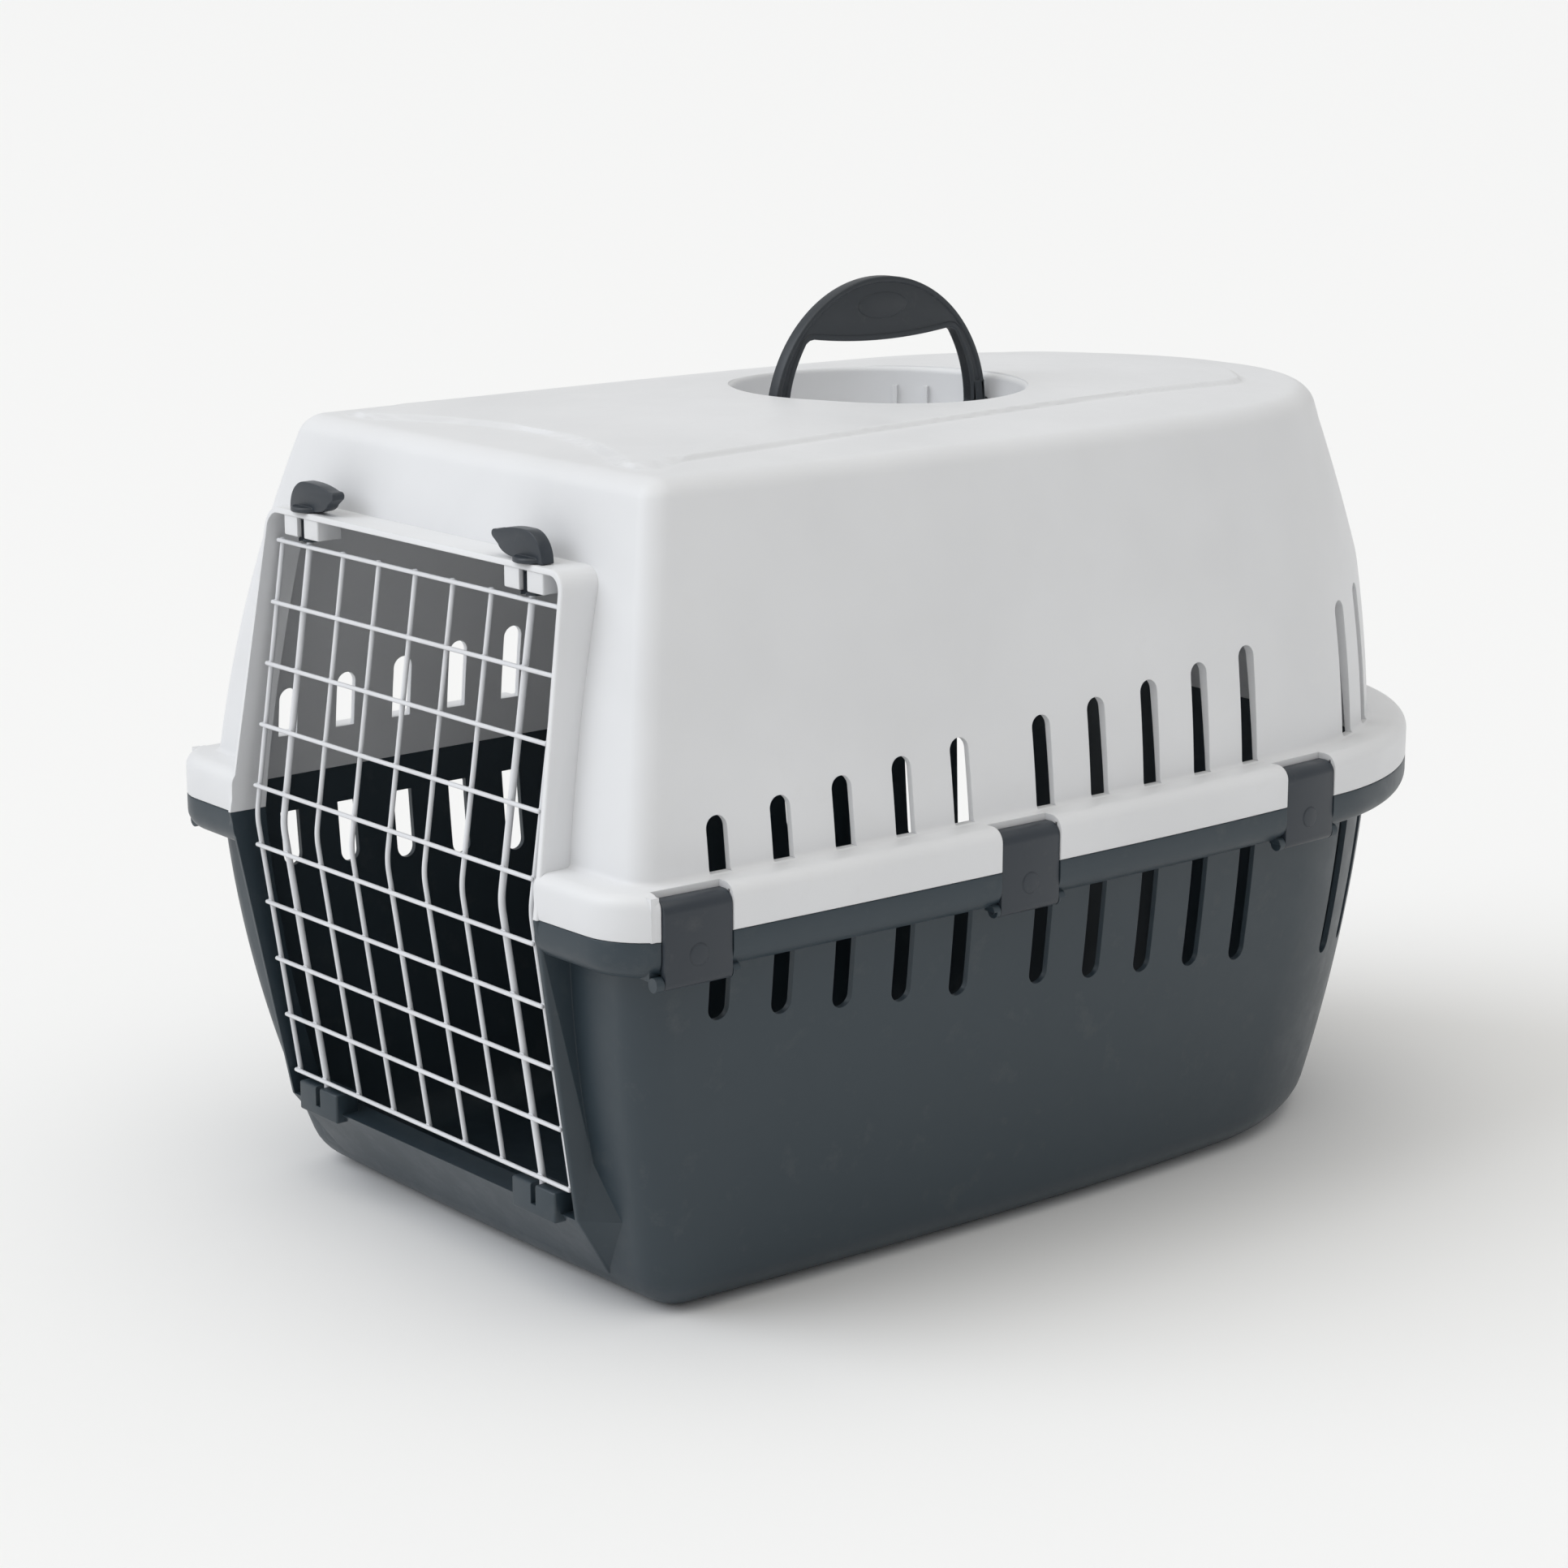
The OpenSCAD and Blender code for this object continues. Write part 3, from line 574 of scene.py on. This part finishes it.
def stadium(y, z0, z1, r):
    """Outline of an upright slot of radius r about y with its round end at z1 and a square end at z0."""
    if z1 > z0:
        return np.vstack([[[y - r, z0], [y + r, z0]], arc(y, z1 - r, r, 0, 180, 18)])
    return np.vstack([[[y + r, z0], [y - r, z0]], arc(y, z1 + r, r, 180, 360, 18)])


# Slots lie at an even pitch from a first one on each side of the middle clip
SLOT_R, SLOT_PITCH, SLOT_MID, SLOT_FRONT, SLOT_REAR = 5.75, 35.6, -69, 26.5, 25.2
SLOTS = np.concatenate([SLOT_MID - SLOT_FRONT - SLOT_PITCH * np.arange(4, -1, -1),
                        SLOT_MID + SLOT_REAR + SLOT_PITCH * np.arange(5)])
CORNER_TURNS, CORNER_IN = (20, 33.5), 151
CLIPS = {"front": -263.0, "middle": -69.0, "rear": 126.5}
CLIP_W, CLIP_T, CLIP_TOP, CLIP_GAP, HOOK = 36.5, 2.4, FLANGE_TOP - 3, 0.3, 11.0
PIVOT_X, PIVOT_Z = -4, FLANGE_LOW - 0.8
SEAT_W = CLIP_W / 2 + CLIP_GAP + 4.2


def clip_matrix(side, y):
    """Places a clip's own frame at the flange's face, its X pointing outward. Left clips are mirrored."""
    slope = np.arctan((flange_x(y + 5) - flange_x(y - 5)) / 10)
    m = Matrix.Translation((float(flange_x(y)) * MM, y * MM, 0)) @ Matrix.Rotation(-float(slope), 4, "Z")
    return m if side > 0 else Matrix.Scale(-1, 4, (1, 0, 0)) @ m


def each_clip(build):
    """One piece from build() at each of the six clip places."""
    return [move(build(), clip_matrix(s, y)) for s in (-1, 1) for y in CLIPS.values()]


def slot_cutters(start, ends, corner_ends):
    """One shell's side slots and its two rear corner slots a side, each from the flange to its own end."""
    cuts = [prism("slot", stadium(y, start, z, SLOT_R), -225, 225, along_x) for y, z in zip(SLOTS, ends)]
    for side in (-1, 1):
        for a, end in zip(CORNER_TURNS, corner_ends):
            cut = prism("corner slot", stadium(0, start, end, SLOT_R), 96, 171, along_x)
            m = Matrix.Translation(((RIM_W - CORNER_IN) * MM, (RIM_L - CORNER_IN) * MM, 0))
            m = m @ Matrix.Rotation(np.radians(a), 4, "Z")
            cuts.append(move(cut, m if side > 0 else Matrix.Scale(-1, 4, (1, 0, 0)) @ m))
    return joined("slots", cuts)


def clip_notch():
    """The notch that a clip lies in: plate, hook, barrel and the room that they swing through."""
    w = CLIP_W / 2 + CLIP_GAP
    lift = CLIP_TOP - CLIP_T - CLIP_GAP
    profile = np.vstack([[[3, PIVOT_Z - 5], [3, FLANGE_TOP + 3], [-HOOK - CLIP_GAP, FLANGE_TOP + 3],
                          [-HOOK - CLIP_GAP, lift], [-4.7, lift], [-4.7, PIVOT_Z + 3.5]],
                         arc(PIVOT_X, PIVOT_Z, 3.6, 101, 180, 8), [[-7.6, PIVOT_Z - 5]]])
    return prism("notch", profile, -w, w, along_y)


def mirrored(build):
    """build() and its mirror image across the middle."""
    return [build(), move(build(), Matrix.Scale(-1, 4, (1, 0, 0)))]


# The rods' axis, and how far their bent part reaches above and below the joining line
ROD_X, HINGE_Y, ROD_END = 92.31, 28.8 - HALF_L, 137.3
EDGE_X = ROD_X + 23.7
BRACKET_LOW = PARTING + ROD_END + 0.9 + 1.5 + 0.3
LUG_TOP = PARTING - ROD_END - 1.6
STUB, SLEEVE_R, ROD_BORE = 10.6, 4.1, 1.8
DISH_Y, DISH_R, PIN_Z = 10.0, 74.5, ROOF - 16


def dish_cutter():
    """The dish: a flat floor with a 6 mm fillet, a wall with slight draft and a rolled rim."""
    low = ROOF - 29
    profile = [(0.3, low), (60, low)]
    profile += [tuple(p) for p in arc(DISH_R - 6.6, low + 6, 6, -90, 0, 9)]
    profile += [tuple(p) for p in arc(DISH_R + 3.2, ROOF - 2.4, 3.2, 180, 115, 7)]
    return profile + [(DISH_R + 3, ROOF + 4), (0.3, ROOF + 4)]


def top_shell():
    """The upper shell: skin, collar, doorway, dish, brackets, clip seats and slots."""
    shell = top_skin()
    carve(shell, stack("collar", collar_rings(0, r=1.2)), "UNION")
    carve(shell, top_hollow())
    carve(shell, stack("doorway", collar_rings(COLLAR_T, -HALF_L - 2)))
    low, rim, high = ROOF - 32, DISH_R + WALL, ROOF - 3.6
    cup = lathe("cup", [(0.3, low), (rim - 6, low), (rim, low + 6), (rim, high), (0.3, high)], 128)
    carve(shell, move(cup, Matrix.Translation((0, DISH_Y * MM, 0))), "UNION")
    low = BRACKET_LOW
    brackets = mirrored(lambda: rounded(bar(
        "bracket", (ROD_X - 15, ROD_X + 15), (HINGE_Y - 5.2, HINGE_Y + 8.8),
        (low, COLLAR_TOP - COLLAR_T + 0.6)), 0.8))
    seats = each_clip(lambda: bar(
        "seat", (-REACH - 0.8, -4.5), (-SEAT_W, SEAT_W), (PARTING, FLANGE_TOP - 1.2)))
    carve(shell, joined("added", brackets + seats), "UNION")
    dish = move(lathe("dish", dish_cutter(), 128), Matrix.Translation((0, DISH_Y * MM, 0)))
    carve(shell, dish)
    holes = mirrored(lambda: cylinder("bore", 4.2, low - 1, COLLAR_TOP + 1, (ROD_X, HINGE_Y)))
    carve(shell, joined("bores", holes + [cylinder("pin bore", 4.1, -73, 93, (0, PIN_Z), along_y)]))
    mouths = mirrored(lambda: bar(
        "mouth", (ROD_X - 3.1, ROD_X + 3.1), (HINGE_Y - 8, HINGE_Y), (low - 1, COLLAR_TOP - COLLAR_T)))
    carve(shell, joined("cuts", mouths + each_clip(clip_notch)))
    ends = FLANGE_TOP + 26 + 3.7 * np.arange(10)
    carve(shell, slot_cutters(FLANGE_TOP + 0.6, ends, (FLANGE_TOP + 70, FLANGE_TOP + 74)))
    for a in (29, 42):
        rib = bar("rib", (72.4, 75.2), (-1.4, 1.4), (ROOF - 27, ROOF - 9))
        m = Matrix.Translation((0, DISH_Y * MM, 0)) @ Matrix.Rotation(np.radians(90 + a), 4, "Z")
        carve(shell, move(rib, m), "UNION")
    finished(smooth(shell), "carrier", "upper_plastic", LIGHT, "top_shell")


def base_shell():
    """The base: skin, lower collar with its sill and apron, lugs, clip seats and slots."""
    shell = base_skin()
    front = 0.4 * WALL - (RIM_L - LEAN_FRONT * lean((PARTING - APRON_Z) / PARTING, CURVE_FRONT_LOW))
    foot = SILL + APRON_RISE
    carve(shell, stack("apron", [apron_ring(collar_w(SILL) - 9, front, APRON_SIDE, APRON_Z),
                                 apron_ring(collar_w(SILL), collar_y(SILL), APRON_SIDE, SILL),
                                 apron_ring(collar_w(foot), collar_y(foot), 0.4, foot),
                                 apron_ring(COLLAR_MID, -HALF_L, 0.4, PARTING)]), "UNION")
    carve(shell, base_hollow())
    carve(shell, stack("doorway", [box_ring(collar_w(SILL) - COLLAR_T, -HALF_L - 2, BACK, SILL),
                                   box_ring(COLLAR_MID - COLLAR_T, -HALF_L - 2, BACK, PARTING + 1)]))
    carve(shell, stack("apron hollow", [
        box_ring(collar_w(SILL) - 12, front + 2.9, BACK, APRON_Z + WALL),
        box_ring(collar_w(SILL) - WALL, collar_y(SILL) + 3.8, BACK, SILL - WALL)]))
    lugs = mirrored(lambda: rounded(bar(
        "lug", (ROD_X - 17, ROD_X + 17), (HINGE_Y - 5.8, HINGE_Y + 7.2), (SILL - 4.5, LUG_TOP)), 1.0))
    seats = each_clip(lambda: bar("seat", (-13, -6.5), (-SEAT_W, SEAT_W), (FLANGE_LOW + 0.2, PARTING)))
    carve(shell, joined("added", lugs + seats), "UNION")
    carve(shell, joined("knuckles", each_clip(
        lambda: cylinder("knuckle", 3.4, -SEAT_W, SEAT_W, (PIVOT_X, PIVOT_Z), along_y, 40))), "UNION")
    low = PARTING - ROD_END - STUB - 0.8
    bores = mirrored(lambda: cylinder("bore", ROD_BORE, low, LUG_TOP + 1, (ROD_X, HINGE_Y)))
    carve(shell, joined("bores", bores))
    mouths = mirrored(lambda: bar(
        "mouth", (ROD_X - 1.95, ROD_X + 1.95), (HINGE_Y - 8, HINGE_Y), (low, LUG_TOP + 1)))
    carve(shell, joined("cuts", mouths + each_clip(clip_notch)))
    ends = FLANGE_LOW - 29 - 3.9 * np.arange(10)
    carve(shell, slot_cutters(FLANGE_LOW - 0.6, ends, (FLANGE_LOW - 79, FLANGE_LOW - 79)))
    finished(smooth(shell), "carrier", "base_plastic", SLATE, "base_shell")


# ---------------------------------------------------------------- wire door

ROD_D, UPRIGHT_D, CROSS_D, WELD = 3.4, 2.5, 2.2, 0.3
RISE, BULGE, KNEE_R = COLLAR_UP - 15.4, 20.5, 40.0
BEND_R = 8
TILT = np.arctan(BULGE / RISE)
SLOPE = RISE / np.cos(TILT)
ROD_BACK = (ROD_D + CROSS_D) / 2 - WELD
KNEE_Y = HINGE_Y - BULGE
CROSS_SPAN = SLOPE - 1.6


def wire_path(x, d, ends):
    """Half of an upright wire from the joining line up, then mirrored below: a knee arc and a straight slope.

    With ends, a small bend leads to an upright stub on the hinge axis.
    """
    r = KNEE_R - (d + CROSS_D) / 2 + WELD
    y0 = KNEE_Y + (KNEE_R - ROD_BACK) / np.cos(TILT) - r
    a = np.linspace(0, TILT, 8)
    y, z = y0 + r * (1 - np.cos(a)), r * np.sin(a)
    slope = np.array([np.sin(TILT), np.cos(TILT)])
    length = SLOPE - (KNEE_R - ROD_BACK) * np.tan(TILT) if ends else SLOPE - 0.4 - r * np.tan(TILT)
    if ends:
        t = BEND_R * np.tan(TILT / 2)
        p = np.array([y[-1], z[-1]]) + slope * (length - t)
        b = np.linspace(0, TILT, 5)[1:]
        bend = [p + BEND_R * np.array([np.cos(TILT - k) - np.cos(TILT), np.sin(TILT) - np.sin(TILT - k)])
                for k in b]
        pts = np.vstack([np.column_stack([y, z]), p, bend, bend[-1] + [0, STUB]])
    else:
        pts = np.vstack([np.column_stack([y, z]), np.array([y[-1], z[-1]]) + slope * length * 0.5,
                         np.array([y[-1], z[-1]]) + slope * length])
    both = np.vstack([pts[:0:-1] * [1, -1], pts])
    return np.column_stack([np.full(len(both), x), both[:, 0], both[:, 1] + PARTING])


def cross_place(s):
    """Place (y, z) of a cross wire at distance s along the slope from the joining line."""
    y = KNEE_Y - ROD_BACK / np.cos(TILT)
    return y + abs(s) * np.sin(TILT), PARTING + s * np.cos(TILT)


def weld_beads(s, d, xs):
    """Small beads where a cross wire sinks into the uprights."""
    y, z = cross_place(s)
    n = np.array([-np.cos(TILT), np.sin(TILT) * np.sign(s)])
    back = CROSS_D / 2
    return [blob((x, y - n[0] * back, z - n[1] * back), (d * 0.62 + 0.35, 0.75, CROSS_D * 0.66))
            for x, d in xs]


def wire_door():
    """Twelve pieces of coated wire, one for each CAD node."""
    wires = {"door_hinge_rod": (-ROD_X, ROD_D), "door_free_rod": (ROD_X, ROD_D),
             "door_edge_wire_left": (-EDGE_X, UPRIGHT_D), "door_edge_wire_right": (EDGE_X, UPRIGHT_D)}
    wires.update({"door_upright_%d" % (i + 3): (30.77 * i, UPRIGHT_D) for i in range(-2, 3)})
    for node, (x, d) in wires.items():
        obj = make("wire_" + node, *tube(wire_path(x, d, d == ROD_D), d / 2, 18))
        finished(smooth(outward(obj), 50), "door", "coated_wire", WIRE, node)
    s = -CROSS_SPAN + np.arange(10) * 2 * CROSS_SPAN / 9
    groups = {"door_bottom_wire": s[:1], "door_cross_wires": s[1:9], "door_top_wire": s[9:]}
    for node, places in groups.items():
        parts = []
        for k in places:
            y, z = cross_place(k)
            x = np.linspace(-EDGE_X - 1.8, EDGE_X + 1.8, 7)
            path = np.column_stack([x, np.full(7, y), np.full(7, z)])
            parts.append(tube(path, CROSS_D / 2, 16))
            parts += weld_beads(k, UPRIGHT_D, list(wires.values()))
        finished(smooth(outward(merged("wire_" + node, parts)), 50), "door", "coated_wire", WIRE, node)


# ---------------------------------------------------------------- latches

def c_section(r, bore, mouth, n=30):
    """Outline of a ring of radius r about a bore, open at the front by a mouth of that width."""
    a, b = np.degrees(np.arcsin(mouth / 2 / r)), np.degrees(np.arcsin(min(1, mouth / 2 / bore)))
    b = min(b, 80)
    return np.vstack([arc(0, 0, r, -90 + a, 270 - a, n), arc(0, 0, bore, 270 - b, -90 + b, n)])


def fin_outline():
    """Side view of a latch's fin (x, z), right latch: a shark's fin whose tip leans over towards the middle.

    Its back is an elliptic arc, its tip is round, and its inner edge is a concave quarter ellipse.
    """
    h, reach = 14.4, 27.0
    a = np.radians(np.linspace(4, 92, 16))
    back = np.column_stack([-1 + 13 * np.cos(a), 1 + (h - 1) * np.sin(a)])
    top = np.column_stack([np.linspace(-5, -reach + 4, 6), h - 2.6 * np.linspace(0, 1, 6) ** 2])
    tip = arc(-reach + 2.2, h - 4.7, 2.1, 95, 240, 8)
    b = np.radians(np.linspace(80, 4, 12))
    inner = np.column_stack([-8.5 - 13.5 * np.sin(b), (h - 8.9) * (1 - np.cos(b)) + 0.6])
    return np.vstack([[[12, 0]], back, top, tip, inner, [[-8.5, 0]]])


def latch(side):
    """A latch: sleeve and foot below the collar's top, a low boss and a thick fin above it."""
    low, base, mouth = PARTING + ROD_END + 0.9, COLLAR_TOP + 0.3, 3.9
    boss = [(0.3, base), (8.6, base), (9, base + 0.4), (9, base + 1.6), (8.2, base + 2.4), (0.3, base + 2.6)]
    parts = [prism("sleeve", c_section(SLEEVE_R, ROD_BORE, mouth), low, PARTING + ROD_END + 11.6, along_z),
             prism("foot", c_section(5.6, ROD_BORE, mouth), low, low + 1.5, along_z),
             cylinder("neck", SLEEVE_R, PARTING + ROD_END + 11.5, base + 1, (0, 0)),
             lathe("boss", boss),
             rounded(prism("fin", fin_outline() + [0, base], -3.4, 3.4, along_y), 1.5, 4, 30)]
    obj = move(joined("latch", parts), Matrix.Translation((ROD_X * MM, HINGE_Y * MM, 0)))
    name = "right" if side > 0 else "left"
    if side < 0:
        move(obj, Matrix.Scale(-1, 4, (1, 0, 0)))
    obj.name = "turning_latch_" + name
    finished(smooth(obj, 40), "latch_" + name, "trim_plastic", TRIM, "latch_" + name)


# ---------------------------------------------------------------- clips

def clip_profile():
    """Cross-section of a clip (x outward, z up): barrel, flat plate and a hook over the flange's edge."""
    top, t = CLIP_TOP, CLIP_T
    outer = [[-0.6, PIVOT_Z + 0.5], [-0.6, top - 6]]
    outer += arc(-6.6, top - 6, 6, 8, 90, 8).tolist() + [[-10.4, top]]
    hook = arc(-10.4, top - 0.6, 0.6, 90, 180, 4).tolist() + [[-11, top - t]]
    under = [[-6.8, top - t]] + arc(-6.6, top - t - 2.6, 2.6, 88, 0, 5).tolist() + [[-4, PIVOT_Z + 3.2]]
    barrel = arc(PIVOT_X, PIVOT_Z, 3.3, 105, 352, 22).tolist()
    return np.array(outer + hook + under + barrel)


def clip(side, place):
    """A clip: the profile over the clip's width, its pins, and a round thumb boss low on the plate."""
    name = "clip_%s_%s" % ("right" if side > 0 else "left", place)
    w = CLIP_W / 2
    plate = rounded(prism("plate", clip_profile(), -w, w, along_y), 0.7, 3, 40)
    pins = cylinder("pins", 1.7, -w - 3.2, w + 3.2, (PIVOT_X, PIVOT_Z), along_y, 32)
    boss = lathe("boss", [(0.2, -2.5), (5.2, -2.5), (5.2, -0.7), (4.9, -0.25), (4.2, -0.1), (0.2, -0.1)], 40,
                 lambda a, b, c: (c, a, b + PIVOT_Z + 11))
    obj = move(joined("snap_" + name, [plate, pins, boss]), clip_matrix(side, CLIPS[place]))
    finished(smooth(obj, 40), name, "trim_plastic", TRIM, name)


# ---------------------------------------------------------------- handle

ARCH_R, ARCH_T, LEG, RIM_BAND = 71.5, 7.6, 9.5, 3.2


def opening(g):
    """Outline of the finger opening grown by g, from the right foot over to the left one.

    The legs' inner edges draw in with height, and the grip's lower edge bows down in the middle.
    """
    a = ARCH_R - LEG
    z = np.linspace(0, 1, 14)
    leg = np.column_stack([a - 10 * z ** 2.3 + g, 38 * z])
    corner = np.array([[a - 11.6 + g * 0.8, 40.6 + g * 0.5], [a - 14 + g * 0.5, 42.2 + g * 0.9],
                       [a - 17 + g * 0.2, 42.6 + g]])
    y = np.linspace(a - 21, 0, 12)
    grip = np.column_stack([y, 39.5 + g + 3.1 * (y / (a - 17)) ** 2])
    half = np.vstack([[[a + g, 0]], leg, corner, grip])
    return np.vstack([half, half[-2::-1] * [-1, 1]])


def handle():
    """The folding handle: an arch about the pins with a rim, nearly flush cheeks, an oval and round feet."""
    hole = opening(0)
    rim = np.vstack([arc(0, 0, ARCH_R, 0, 180, 90), arc(0, 0, ARCH_R - RIM_BAND, 180, 0, 90)])
    cheeks = np.vstack([arc(0, 0, ARCH_R - 0.6, 0, 180, 90), hole[::-1]])
    lip = np.vstack([opening(3.0), hole[::-1]])

    def plate(name, points, t, soft):
        """A flat piece of the handle of thickness t, its edges rounded."""
        return rounded(prism(name, points, -t / 2, t / 2, along_x), soft, 4, 40)

    parts = [plate("rim", rim, ARCH_T, 1.1), plate("cheeks", cheeks, ARCH_T - 1.6, 0.4),
             plate("lip", lip, ARCH_T, 1.0)]
    oval = [(16 * np.cos(a), 57 + 6.5 * np.sin(a)) for a in np.radians(np.arange(0, 360, 7.5))]
    parts.append(rounded(prism("oval", oval, -3.35, 3.35, along_x), 0.3, 3, 40))
    for s in (-1, 1):
        c = s * (ARCH_R - LEG / 2 - 0.3)
        parts.append(rounded(bar("leg", (-ARCH_T / 2, ARCH_T / 2), (c - 4.4, c + 4.2), (0, 14)), 1.0, 3))
        foot = [(0.3, c - 4.5), (4.2, c - 4.5), (4.7, c - 4.0),
                (4.7, c + 4.0), (4.2, c + 4.5), (0.3, c + 4.5)]
        parts.append(lathe("foot", foot, 48, along_y))
        pin = [(0.3, s * 68), (4, s * 68), (4, s * 76.7), (3.6, s * 77.1), (0.3, s * 77.1)]
        parts.append(lathe("pin", pin, 32, along_y))
    obj = move(joined("carrying_handle", parts), Matrix.Translation((0, DISH_Y * MM, PIN_Z * MM)))
    finished(smooth(obj, 40), "handle", "handle_plastic", GRIP, "carry_handle")


top_shell()
base_shell()
wire_door()
for which in (-1, 1):
    latch(which)
    for spot in CLIPS:
        clip(which, spot)
handle()


# ---------------------------------------------------------------- studio

def studio():
    """A plain pale floor, a white sky and two wide soft lights, from the front left and from above."""
    n = Nodes("pale floor")
    shader = n.add("ShaderNodeBsdfPrincipled", {"Base Color": linear("#F4F4F4"), "Roughness": 0.9})
    n.add("ShaderNodeOutputMaterial", {"Surface": shader.outputs["BSDF"]})
    far, low = 60000, -0.2
    ground = make("floor", [(-far, -far, low), (far, -far, low), (far, far, low), (-far, far, low)],
                  [(0, 1, 2, 3)])
    ground.data.materials.append(n.material)
    world = bpy.data.worlds.new("studio")
    world.use_nodes = True
    world.node_tree.nodes["Background"].inputs["Color"].default_value = (1, 1, 1, 1)
    world.node_tree.nodes["Background"].inputs["Strength"].default_value = 0.56
    bpy.context.scene.world = world
    lamps = [("front light", (-0.55, -1.0, 0.9), 50, 1.15, (0.90, 0.94, 1.0)),
             ("top light", (0.1, -0.1, 1.0), 70, 0.85, (1.0, 0.975, 0.90))]
    for name, toward, spread, power, colour in lamps:
        data = bpy.data.lights.new(name, "SUN")
        data.energy, data.angle, data.color = power, np.radians(spread), colour
        lamp = bpy.data.objects.new(name, data)
        lamp.location = (0, 0, 2)
        lamp.rotation_euler = Vector(toward).to_track_quat("Z", "Y").to_euler()
        bpy.context.scene.collection.objects.link(lamp)


def camera():
    """The camera at the photo's view, fitted to the picture: its turn, height, roll, distance and shift."""
    th, ph, roll, far = np.radians(50.49), np.radians(13.44), np.radians(-0.05), 1891.72
    back = np.array([np.sin(th) * np.cos(ph), -np.cos(th) * np.cos(ph), np.sin(ph)])
    right = np.array([np.cos(th), np.sin(th), 0.0])
    up = np.cross(back, right)
    r2 = right * np.cos(roll) + up * np.sin(roll)
    u2 = up * np.cos(roll) - right * np.sin(roll)
    at = (np.array([0, 0, 172.9]) + back * far - right * 40.42 + up * 16.09) * MM
    data = bpy.data.cameras.new("camera")
    data.sensor_width, data.lens = 36.0, 36.0 * 4459.46 / 1932
    data.clip_end = 50
    cam = bpy.data.objects.new("camera", data)
    m = np.eye(4)
    m[:3, 0], m[:3, 1], m[:3, 2], m[:3, 3] = r2, u2, back, at
    cam.matrix_world = Matrix(m.tolist())
    bpy.context.scene.collection.objects.link(cam)
    bpy.context.scene.camera = cam


studio()
camera()
bpy.context.scene.view_settings.view_transform = "Standard"
